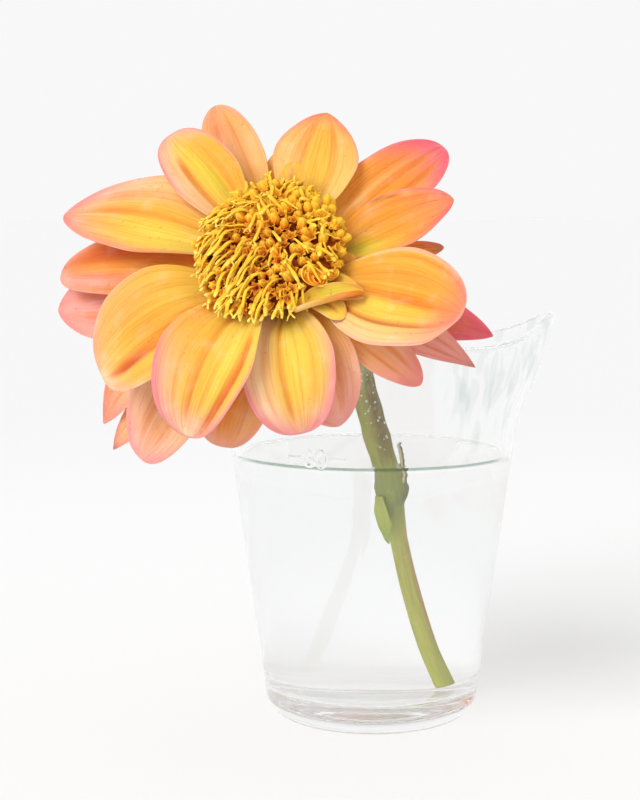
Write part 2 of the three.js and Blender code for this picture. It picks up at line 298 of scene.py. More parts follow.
petalFinish = {
    "veinsAcross": 46, "veinTint": (0.92, 0.66, 0.4), "veinStrength": 0.5, "ribTint": (0.97, 0.8, 0.6),
    "ribStrength": 0.4, "speckTint": (0.82, 0.45, 0.25), "speckStrength": 0.6,
    "bloomTint": (1.0, 0.95, 0.85), "bloomStrength": 0.1, "roughness": 0.5, "relief": (0.0002, 0.55),
    "glow": 0.3, "glowTint": (1.0, 0.45, 0.2), "glowReach": 0.0011, "gloss": 0.3, "sheen": (0.12, 0.4),
}


def petalMaterial(name, own=petalFinish):
    # paint from the mesh, fine veins along the petal, sparse specks and a soft sheen
    m = newSurface(name)
    veins = m.noise(m.grain((1.4, own["veinsAcross"])), 1.0, 3.0, 0.65)
    lines = m.ramp(0.5, 0.66, veins)
    broad = m.noise(m.grain((1.0, 11)), 1.0, 1.0)
    cloud = m.noise(m.place(), 260.0, 2.0)
    near = m.ramp(0.45, 0.6, m.noise(m.place(), 180.0, 1.0))
    specks = m.ramp(0.69, 0.75, m.noise(m.place(), 1500.0, 1.0)) * near
    tone = m.blend("MULTIPLY", lines * own["veinStrength"], m.painted(), own["veinTint"])
    tone = m.blend("MULTIPLY", m.ramp(0.48, 0.72, broad) * own["ribStrength"], tone, own["ribTint"])
    tone = m.blend("MULTIPLY", specks * own["speckStrength"], tone, own["speckTint"])
    tone = m.blend("SCREEN", m.ramp(0.5, 0.8, cloud) * own["bloomStrength"], tone, own["bloomTint"])
    height = lines * -0.5 + m.noise(m.place(), 2400.0, 2.0) * 0.22 + broad * -0.8
    return m.skin(tone, veins * 0.12, height, own)


floretFinish = {
    "grainTint": (0.93, 0.72, 0.42), "grainStrength": 0.5, "roughness": 0.38, "relief": (0.00012, 0.5),
    "glow": 0.25, "glowTint": (1.0, 0.5, 0.15), "glowReach": 0.0006, "gloss": 0.2,
}
greenFinish = {
    "streakStrength": 0.5, "dotStrength": 0.3, "roughness": 0.55, "relief": (0.0002, 0.6),
    "glow": 0.15, "glowTint": (0.6, 1.0, 0.3), "glowReach": 0.0008, "gloss": 0.4,
}


def floretMaterial(name, own=floretFinish):
    # paint from the mesh with a fine grain
    m = newSurface(name)
    grains = m.noise(m.place(), 2600.0, 3.0, 0.65)
    share = m.ramp(0.46, 0.68, grains) * own["grainStrength"]
    return m.skin(m.blend("MULTIPLY", share, m.painted(), own["grainTint"]), grains * 0.25, grains, own)


def greenMaterial(name, pale, dark, streaks, own=greenFinish):
    # two greens in long streaks over the mesh's own paint
    m = newSurface(name)
    lines = m.noise(m.grain(streaks), 1.0, 3.0, 0.6)
    dots = m.noise(m.place(), 900.0, 2.0)
    tone = m.blend("MULTIPLY", m.ramp(0.42, 0.66, lines) * own["streakStrength"], m.painted(), dark)
    tone = m.blend("MIX", m.ramp(0.62, 0.72, dots) * own["dotStrength"], tone, pale)
    return m.skin(tone, lines * 0.15, lines + dots * 0.4, own)


def clearMaterial(name, own, tone):
    # clear and smooth; lamps, light scattered by a matt surface and light that was bent many
    # times go straight through, so that its shadow, its rims and what stands in it stay light
    m = newSurface(name)
    across, deep, height = m.axes()
    out = m.sum("SQRT", across * across + deep * deep)
    clear = m.node("ShaderNodeBsdfPrincipled", {}, {
        "Base Color": tone(m, across, deep, height, out), "Roughness": 0.0, "IOR": own["ior"],
        "Transmission Weight": 1.0,
        "Normal": m.relief(m.noise(m.place(), 70.0, 1.0), 0.0006, own["ripple"]),
    })
    through = m.node("ShaderNodeBsdfTransparent", {}, [(*own["shadow"], 1)])
    lamp, scattered = (m.node("ShaderNodeLightPath", output=i) for i in (1, 2))
    bent = m.ramp(7.5, 8.5, m.node("ShaderNodeLightPath", output="Ray Depth"))
    return m.finish(m.node("ShaderNodeMixShader", {}, [lamp + scattered + bent, clear, through]))


glass = {
    "rimHeight": 80.5, "footRadius": 21.8, "flare": 0.14, "wall": 2.2, "floorHeight": 6,
    "outerCorner": 5.5, "innerCorner": 5, "lipStart": 62, "lipReach": 5.4, "lipRise": 5.5,
    "lipSpread": 14, "pinchAngle": 34, "pinchSpread": 11, "pinchDepth": 0.8, "hollow": 0.35,
    "tint": (0.99, 0.994, 0.992), "ior": 1.46, "ripple": 0.12, "shadow": (0.996, 0.997, 0.997),
    # the grey of the strokes on the lip is painted shade for the streaks of bent thick glass
    "strokeScale": 230.0, "streakShadeTint": (0.8, 0.85, 0.83),
    "markAngle": -113.7, "markHeight": 58.6, "markRadius": 29.8, "markRaise": 0.3, "markStroke": 0.42,
}
water = {
    "level": 56.5, "overlap": 0.05, "climb": 0.45, "climbReach": 0.8, "tint": (0.993, 0.994, 0.994),
    # the waterline's grey-green is painted shade for the dark line of the meniscus
    "ior": 1.333, "ripple": 0.0, "shadow": (0.998, 0.998, 0.998), "waterlineShadeTint": (0.2, 0.3, 0.23),
}


def outerRadius(height):
    return glass["footRadius"] + glass["flare"] * height


def innerRadius(height):
    return outerRadius(height) - glass["wall"]


def lip(radius, height, angle):
    # the wall leans out and up in a bell round +X, with a shallow pinch on both sides of it
    climb = ramp(glass["lipStart"], glass["rimHeight"], height)
    turn = np.degrees(np.abs(np.arctan2(np.sin(angle), np.cos(angle))))
    spread = np.exp(-(turn / glass["lipSpread"]) ** 2 / 2)
    pinch = np.exp(-((turn - glass["pinchAngle"]) / glass["pinchSpread"]) ** 2 / 2)
    out = (glass["lipReach"] * spread - glass["pinchDepth"] * pinch) * climb
    return radius + out, height + glass["lipRise"] * spread * climb ** 2


def markLift(radius, height, angle):
    # raised figures 6 and 0 with a tick on either side, unrolled to millimetres x and y:
    # a stroke is raised where its middle line is nearer than its half width
    turn = angle - np.radians(glass["markAngle"])
    x = np.arctan2(np.sin(turn), np.cos(turn)) * glass["markRadius"]
    y = height - glass["markHeight"]

    def ring(centreX, centreY, halfX, halfY):
        return np.abs(np.hypot((x - centreX) / halfX, (y - centreY) / halfY) - 1) * min(halfX, halfY)

    def stroke(fromX, fromY, toX, toY):
        run = np.array([toX - fromX, toY - fromY])
        part = np.clip(((x - fromX) * run[0] + (y - fromY) * run[1]) / (run @ run), 0, 1)
        return np.hypot(x - fromX - part * run[0], y - fromY - part * run[1])

    near = np.minimum.reduce([
        ring(1.3, 0, 0.8, 1.45), ring(-1.2, -0.7, 0.75, 0.75), stroke(-1.9, -0.4, -1.0, 1.5),
        stroke(-5.8, 0, -3.2, 0), stroke(3.4, 0, 6, 0),
    ])
    outside = radius > innerRadius(height) + glass["wall"] * 0.6
    raised = glass["markRaise"] * ramp(glass["markStroke"], glass["markStroke"] * 0.45, near)
    return np.where(outside, radius + raised, radius)


def glassShape(radius, height, angle):
    return lip(markLift(radius, height, angle), height, angle)


def glassProfile():
    # up the outside, over the rim's round bead and down the inside to the middle of the floor
    outerCorner, innerCorner = glass["outerCorner"], glass["innerCorner"]
    floorHeight = glass["floorHeight"]
    innerTop = floorHeight + innerCorner
    bead = glass["wall"] / 2
    beadHeight = glass["rimHeight"] - bead
    footMiddle, floorMiddle = outerRadius(0) - outerCorner, innerRadius(innerTop) - innerCorner
    # the steps are closest at the raised figures and from the lip upwards
    plain = [np.linspace(*steps) for steps in (
        (outerCorner + 1, 55.5, 30), (55.8, 61.6, 30), (glass["lipStart"], beadHeight - 0.5, 36))]
    inside = [np.linspace(*steps) for steps in (
        (beadHeight - 0.5, glass["lipStart"], 30), (61, innerTop + 1, 24))]
    plain, inside = np.concatenate(plain), np.concatenate(inside)
    hollow = glass["hollow"] * np.linspace(1, 0, 10) ** 2
    return np.concatenate([
        [[0, 0]],
        np.stack([np.linspace(2, footMiddle - 0.5, 10), hollow], -1),
        arc(outerRadius(outerCorner) - outerCorner, outerCorner, outerCorner, -90, 0, 12),
        np.stack([outerRadius(plain), plain], -1),
        arc(outerRadius(beadHeight) - bead, beadHeight, bead, 0, 180, 13),
        np.stack([innerRadius(inside), inside], -1),
        arc(floorMiddle, innerTop, innerCorner, 0, -90, 12),
        np.stack([np.linspace(floorMiddle - 0.5, 2, 8), np.full(8, floorHeight)], -1),
        [[0, floorHeight]],
    ])


def glassAngles():
    # even steps all round, with closer ones across the raised figures
    figures = glass["markAngle"] + np.linspace(-13, 13, 110)
    coarse = np.arange(0, 360, 2.0) - 180
    coarse = coarse[np.abs(coarse - glass["markAngle"]) > 13.5]
    return np.radians(np.sort(np.concatenate([figures, coarse])))


def glassTone(m, across, deep, height, out):
    # faint upright grey strokes painted on the lip as painted shade for the dark streaks that the bends
    # of thick glass show: peaks of a tall noise
    paintedStreaks = m.ramp(0.57, 0.64, m.noise(m.place((1, 1, 0.35)), glass["strokeScale"], 1.0))
    share = paintedStreaks * m.ramp(0.012, 0.022, across) * m.ramp(0.058, 0.064, height)
    return m.blend("MIX", share, glass["tint"], glass["streakShadeTint"])


def waterTone(m, across, deep, height, out):
    # painted shade: greyer in the thin wedge that climbs the wall, most of all in front, as the dark line
    # that the meniscus shows
    wedge = m.ramp(0.0265, 0.0272, out) * m.ramp(0.0562, 0.0565, height)
    return m.blend("MIX", wedge * m.ramp(-0.004, -0.018, deep), water["tint"], water["waterlineShadeTint"])


glassMaterial = clearMaterial("clear glass", glass, glassTone)
waterMaterial = clearMaterial("water", water, waterTone)
turned = turnedPiece(glassProfile(), glassAngles(), glassShape)
addPiece("pouring_glass", glassMaterial, "glass", *turned, nodes=["glass_jug"])
print("glass made")


receptacle = {"radius": 8.1, "top": 2.2, "bottom": -9.6, "neck": 2.3, "tint": colour(142, 164, 84)}
headCentre = np.array([-18.2, -40, 95.6])
facing = unit(np.array([-0.22, -0.8, 0.55]))
headUp = unit(np.array([0, 0, 1]) - facing[2] * facing)
headRight = np.cross(headUp, facing)
headFrame = np.stack([headRight, headUp, facing])

stem = {
    # x, y, z and radius along the middle line
    "stops": np.array([
        [11.2, 4, 7.1, 1.5], [8.6, 2, 17, 1.5], [6.2, -1.4, 29, 1.5], [4.3, -8.6, 41, 1.5],
        [3.3, -14.5, 48.5, 2.0], [2.9, -17.2, 52, 2.9], [2.3, -19.2, 55.5, 2.4],
        [0.3, -22.6, 62.5, 2.6], [-1.9, -25.8, 71, 2.4], [-3.5, -28.3, 79, 1.7],
        [-5.7, -28.1, 82.7, 1.8], [-9.6, -26.9, 85.7, 2.0], [-13.4, -27.1, 87.3, 2.2],
    ]),
    "steps": 260, "sides": 32, "ribDepth": 0.04, "ribs": 7, "seed": 3,
    "footTint": colour(166, 168, 74), "brownTint": colour(112, 88, 46), "scarTint": colour(110, 104, 76),
    "flushTint": colour(186, 120, 92),
    # the tints that follow it upwards, each between two heights
    "bands": [(10, 30, colour(172, 170, 78)), (40, 50, colour(142, 150, 74)),
              (54, 60, colour(158, 158, 74)), (70, 80, colour(206, 214, 156))],
    # a stub of a leaf stalk rises from the node: x, y, z and radius along it
    "stub": np.array([
        [4.6, -17.9, 51.4, 0.65], [5.4, -18.8, 54, 0.5], [5.5, -19.6, 57, 0.45],
        [5.1, -20.1, 59.6, 0.42], [4.8, -20.2, 60.7, 0.34], [5.1, -20.1, 61.2, 0.22],
    ]),
    # the stub's pale tint is a painted highlight down its left side
    "stubTint": colour(112, 98, 60), "stubHighlight": colour(236, 228, 196),
    "beads": 30, "beadSize": (0.1, 0.3), "beadHeights": (61, 80), "beadTurns": (-160, -50),
}


def stemLine():
    stops = stem["stops"]
    end = headCentre + facing * (receptacle["bottom"] - 0.1)
    path = curveThrough(np.concatenate([stops[:, :3], [end - 3 * facing, end]]), stem["steps"])
    return path, np.interp(path[:, 2], stops[:, 2], stops[:, 3])


def scarOn(height, right):
    # 1 at the middle of the bud scar on the right of the node
    return bell(height, 51.2, 1.6) * bell(right, 1, 0.5)


def makeStem():
    path, radius = stemLine()
    length = np.concatenate([[0], np.cumsum(np.linalg.norm(np.diff(path, axis=0), axis=1))])
    height = path[:, 2, None]

    def swell(around, out):
        # shallow ribs, small uneven swellings, a collar at the node and the scar
        wobble = np.sin(length[:, None] * 0.9 + 2 * np.sin(around * 2))
        ribs = stem["ribDepth"] * np.cos(stem["ribs"] * around) * ramp(12, 30, height)
        collar = 0.03 * bell(height, 52.6, 0.9) + 0.04 * bell(height, 49.8, 0.8)
        bumps = 1 + ribs + 0.03 * wobble * ramp(52, 60, height) + collar
        return radius[:, None] * (bumps + 0.16 * scarOn(height, out[..., 0]))

    points, faces, right = tubeAlong(path, stem["sides"], swell)
    run = np.append(np.repeat(length, stem["sides"]), [0, length[-1]])
    turn = np.append(np.tile(np.arange(stem["sides"]) / stem["sides"], len(path)), [0, 0])
    z = np.append(np.repeat(path[:, 2], stem["sides"]), path[[0, -1], 2])
    paint = stem["footTint"]
    for low, high, tint in stem["bands"]:
        paint = mixed(paint, tint, ramp(low, high, z))
    grit = 0.55 + 0.45 * np.random.default_rng(stem["seed"]).uniform(0, 1, len(z))
    brown = ramp(56, 62, z) * ramp(82, 74, z) * ramp(-0.35, 0.5, right) * grit
    flush = 0.45 * ramp(12, 20, z) * ramp(48, 40, z) * ramp(0.5, 1, right)
    paint = mixed(paint, stem["brownTint"], brown)
    paint = mixed(paint, stem["scarTint"], scarOn(z, right))
    paint = mixed(paint, stem["flushTint"], flush)
    return points, faces, np.stack([run, turn], -1), paint


def makeStub():
    # a painted highlight makes it pale on its left side; its own dark brown shows on its right
    stops = stem["stub"]
    path = curveThrough(stops[:, :3], 50)
    radius = np.interp(path[:, 2], stops[:, 2], stops[:, 3])[:, None]
    points, faces, right = tubeAlong(
        path, 14, lambda around, out: radius * (1 + 0.12 * np.sin(path[:, 2:] * 5 + around)))
    paint = mixed(stem["stubHighlight"], stem["stubTint"], ramp(-0.3, 0.5, right))
    return points, faces, points[:, [2, 0]] * 0.2, paint


def makeBeads():
    # small flattened balls of water, from the stem's right side round to its front left
    path, radius = stemLine()
    some = np.random.default_rng(stem["seed"])
    count = stem["beads"]
    at = np.searchsorted(path[:, 2], some.uniform(*stem["beadHeights"], count))
    tangent = unit(np.gradient(path, axis=0))[at]
    turn = np.radians(some.uniform(*stem["beadTurns"], count))
    side = unit(np.cross(tangent, [0, 1, 0]))
    out = plane(side, np.cross(side, tangent), np.cos(turn), np.sin(turn))
    size = some.uniform(*stem["beadSize"], count)[:, None, None, None]
    high, wide = np.radians(np.linspace(-80, 80, 7))[:, None], allRound(30)
    first, second = unit(np.cross(out, tangent))[:, None, None], tangent[:, None, None]
    flatness = 0.7
    ball = (plane(first, second, np.cos(high) * np.cos(wide), np.cos(high) * np.sin(wide))
            + flatness * np.sin(high)[..., None] * out[:, None, None])
    middle = path[at] + out * radius[at][:, None] * 1.02
    poles = np.array([-flatness, flatness])[None, :, None] * size[:, 0]
    return manyTubes(middle[:, None, None] + ball * size, middle[:, None] + out[:, None] * poles)


def glintDropMaterial(name):
    # drops painted near white to stand as glints of light, paler in spots, that let some of the stem's
    # green through
    m = newSurface(name)
    spots = m.ramp(0.4, 0.6, m.noise(m.place(), 3000.0))
    return m.finish(m.node("ShaderNodeBsdfPrincipled", {}, {
        "Base Color": m.blend("MIX", spots, (0.98, 0.99, 0.93), (0.8, 0.86, 0.66)), "Roughness": 0.08,
        "IOR": water["ior"], "Transmission Weight": 0.3,
    }))


stemMaterial = greenMaterial("stem skin", (0.55, 0.56, 0.3), (0.68, 0.7, 0.5), (0.12, 22.0))
addPiece("stem", stemMaterial, "stem", *makeStem(), nodes=["flower_stem"])
addPiece("stem_stub", stemMaterial, "stem", *makeStub())
# the drops' near-white paint is a painted highlight, standing in for glints
addPiece("stem_beads", glintDropMaterial("drops painted as glints"), "water", *makeBeads())
print("stem made")


def makeWater():
    # a body that meets the glass, its top drawn up at the wall and round the stem
    overlap, corner, top = water["overlap"], glass["innerCorner"], water["level"]
    floor, cornerTop = glass["floorHeight"] - overlap, glass["floorHeight"] + corner
    heights = np.linspace(cornerTop + 1, top - 1, 40)
    edge = innerRadius(top)
    inward = edge + overlap - np.concatenate([np.linspace(0, 5, 26), np.linspace(5.4, edge - 1, 70)])
    profile = np.concatenate([
        [[0, floor]],
        arc(innerRadius(cornerTop) - corner, cornerTop, corner + overlap, -90, 0, 12),
        np.stack([innerRadius(heights) + overlap, heights], -1),
        np.stack([inward, np.full(len(inward), top)], -1),
        [[0, top]],
    ])
    path, radius = stemLine()
    crossing = np.abs(path[:, 2] - top).argmin()

    def drawnUp(r, h, angle):
        # the surface follows the wall, which leans out
        fromWall = np.maximum(edge - r, 0)
        away = np.hypot(r * np.cos(angle) - path[crossing, 0], r * np.sin(angle) - path[crossing, 1])
        fromStem = np.maximum(away - radius[crossing], 0)
        nearby = np.exp(-fromWall / water["climbReach"]) + np.exp(-fromStem / water["climbReach"])
        climb = np.where(h > top - 0.01, water["climb"] * nearby, 0)
        return r + glass["flare"] * climb * np.exp(-fromWall), h + climb

    return turnedPiece(profile, allRound(2), drawnUp)


addPiece("still_water", waterMaterial, "water", *makeWater(), nodes=["water"])
print("water made")


palette = {name: colour(*screen) for name, screen in {
    "lemon": (239, 208, 84), "gold": (237, 185, 70), "amber": (233, 154, 56), "orange": (237, 140, 40),
    "rust": (202, 90, 42), "coral": (233, 130, 104), "rose": (226, 98, 122), "pink": (230, 134, 142),
    "peach": (239, 190, 134), "blush": (237, 165, 152), "lime": (200, 204, 52), "cream": (240, 216, 172),
    "salmon": (224, 112, 94), "brown": (156, 84, 46), "olive": (140, 122, 56),
}.items()}
ray = {
    "root": 8.8, "claw": 0.28, "widening": 1.3, "broad": 0.55, "taper": 0.45, "round": 2.4, "point": 0.5,
    "cupRoot": 60, "cupTip": 15, "bend": 0, "thickness": 0.34, "rows": 72, "columns": 61,
    "wave": 0.13, "rolls": (), "roll": 0, "at": (0, 0, 0), "grooves": (),
}
plainPaint = {
    "ground": ("lemon", "gold"), "lime": 0.0, "below": ("peach", 0.0), "above": ("peach", 0.0),
    "margins": (0.02, 0.25), "flush": ("coral", 0.6, 0.6), "edge": ("rose", 0.85, 0.5),
    "rim": ("blush", 0.45), "washes": (), "under": ("peach", "blush"),
}


def petal(azimuth, length, width, lift, tip, base, grooves, paint, **own):
    # a groove is its line's place across at root and tip, depth, reach, start, end and painted shade;
    # a wash is a colour, its place along and reach, its place across and reach, and strength
    return {
        **ray, "azimuth": azimuth, "length": length, "width": width, "lift": lift, "tip": tip,
        "base": base, "grooves": grooves, "paint": {**plainPaint, **paint}, **own,
    }


def bladeMiddle(blade, s, t):
    # the middle line is an arc whose slope turns evenly from lift to tip; the section is an arc
    # that turns up by the curl on each side; the width opens with a sine and closes with a power
    start, turn = np.radians(blade["lift"]), np.radians(blade["tip"] - blade["lift"])
    slope = start + turn * s
    scale = blade["length"] / turn
    radial = blade["root"] + scale * (np.sin(slope) - np.sin(start))
    normal = blade["base"] + scale * (np.cos(start) - np.cos(slope))
    widen = np.sin(np.minimum(s / blade["broad"], 1) * np.pi / 2) ** blade["widening"]
    past = np.clip((s - blade["taper"]) / (1 - blade["taper"]), 0, 1)
    half = blade["width"] / 2 * (blade["claw"] + (1 - blade["claw"]) * widen)
    half = half * (1 - past ** blade["round"]) ** blade["point"]
    curl = np.radians(blade["cupRoot"] * (1 - s) ** 2 + blade["cupTip"] * s)
    across = np.sin(curl * t) / curl * half
    rise = (1 - np.cos(curl * t)) / curl * half
    return np.stack([
        radial - rise * np.sin(slope), across + blade["bend"] * s ** 2, normal + rise * np.cos(slope),
    ], -1)


def grooveShare(groove, s, t, widen=1.0):
    # 1 along the groove's straight line, fading to its sides and ends
    root, tip, depth, reach, start, end, grooveShade = groove
    along = ramp(start, start + 0.15, s) * ramp(end, end - 0.18, s)
    return bell(t, root + (tip - root) * s, reach * widen) * along


def bladeRelief(blade, s, t):
    # how far the middle surface moves along its normal: grooves with raised shoulders, rolled
    # margins, and two slow waves along the edges
    lift = np.zeros(np.broadcast(s, t).shape)
    for groove in blade["grooves"]:
        lift -= groove[2] * grooveShare(groove, s, t)
        lift += groove[2] * 0.35 * grooveShare(groove, s, t, 2.6)
    for side, amount, start in blade["rolls"]:
        lift += amount * ramp(start, 1, t * side) ** 1.3 * ramp(0.12, 0.4, s)
    phase = blade["azimuth"] * 0.7
    edge = np.abs(t) ** 3
    lift += blade["wave"] * edge * np.sin(s * 17 + phase + t * 2) * ramp(0.15, 0.5, s)
    lift += blade["wave"] * 1.3 * edge * np.sin(s * 9 - phase) * ramp(0.15, 0.5, s)
    return lift * ramp(0, 0.12, s) * ramp(1.02, 0.86, s)


def bladeMesh(blade):
    # the middle surface moved out to both sides and closed along its edge; rows and columns
    # are closest at the tip and the margins
    rows, columns = blade["rows"], blade["columns"]
    lastRow, lastColumn, step = np.radians(89.3), np.radians(78), 1e-4
    s = np.sin(np.linspace(0, lastRow, rows))[:, None]
    t = np.sin(np.linspace(-1, 1, columns) * lastColumn)[None, :] / np.sin(lastColumn)
    s, t = np.broadcast_arrays(s, t)
    middle = bladeMiddle(blade, s, t)
    onward, aside = bladeMiddle(blade, s + step, t), bladeMiddle(blade, s, t + step)
    normal = unit(np.cross(onward - middle, aside - middle))
    middle = middle + normal * bladeRelief(blade, s, t)[..., None]
    thin = blade["thickness"] / 2 * (1 - 0.62 * np.abs(t) ** 4)
    thin = thin * (1 - 0.5 * ramp(0.8, 1, s)) * (1 + 0.5 * ramp(0.3, 0, s))
    out = normal * thin[..., None]
    points = np.concatenate([(middle + out).reshape(-1, 3), (middle - out).reshape(-1, 3)])
    size = rows * columns
    number = np.arange(size).reshape(rows, columns)
    edge = np.concatenate([number[0, :-1], number[:-1, -1], number[-1, :0:-1], number[:0:-1, 0]])
    following = np.roll(edge, -1)
    rim = np.stack([edge, edge + size, following + size, following], -1)
    top = cells(rows, columns)
    turn, roll = np.radians(blade["azimuth"]), np.radians(blade["roll"])
    lean = np.array([[1, 0, 0], [0, np.cos(roll), -np.sin(roll)], [0, np.sin(roll), np.cos(roll)]])
    spin = np.array([[np.cos(turn), np.sin(turn), 0], [-np.sin(turn), np.cos(turn), 0], [0, 0, 1]])
    faces = [np.concatenate([top, top[:, ::-1] + size, rim])]
    return points @ lean @ spin + blade["at"], faces, s, t


def onHead(points):
    return headCentre + points @ headFrame


def bladePaint(paint, grooves, s, t):
    # washes laid over each other: ground, green root, margins, flush towards the tip, edge,
    # painted shade along the grooves, this blade's own washes and the rim
    def washed(tone, name, share):
        return mixed(tone, palette[name], share)

    ground, tipward = paint["ground"]
    tone = washed(palette[ground], tipward, ramp(0.05, 0.7, s))
    tone = washed(tone, "lime", paint["lime"] * bell(s, 0, 0.22) * bell(t, 0, 1.1))
    for side, (name, strength) in ((-1, paint["below"]), (1, paint["above"])):
        tone = washed(tone, name, strength * ramp(0.12, 0.6, t * side) * ramp(*paint["margins"], s))
    for name, start, most in (paint["flush"], paint["edge"]):
        tone = washed(tone, name, most * ramp(start, 1.08, s + 0.16 * t * t))
    # painted shade: amber, then rust towards the tip, laid along each groove
    for groove in grooves:
        grooveShade = groove[6] * grooveShare(groove, s, t, 0.9)
        tone = washed(tone, "amber", np.clip(grooveShade * 1.1, 0, 1))
        tone = washed(tone, "rust", grooveShade * ramp(0.3, 0.8, s) * 0.65)
    for name, atS, reachS, atT, reachT, strength in paint["washes"]:
        tone = washed(tone, name, strength * bell(s, atS, reachS) * bell(t, atT, reachT))
    rim = np.maximum(ramp(0.88, 1.0, np.abs(t)) * ramp(0.3, 0.65, s), ramp(0.975, 1.0, s))
    tone = washed(tone, paint["rim"][0], paint["rim"][1] * rim)
    ground, tipward = paint["under"]
    under = washed(palette[ground], tipward, ramp(0.3, 0.95, s + 0.1 * t * t))
    under = washed(under, "cream", 0.5 * bell(s, 0.1, 0.25))
    return np.concatenate([tone.reshape(-1, 3), under.reshape(-1, 3)])


def bladeUv(s, t, number):
    # along and across, with each blade at a place of its own in the pattern
    uv = np.stack([s.ravel() + number * 1.7, t.ravel() * 0.5 + number * 1.3], -1)
    return np.concatenate([uv, uv])


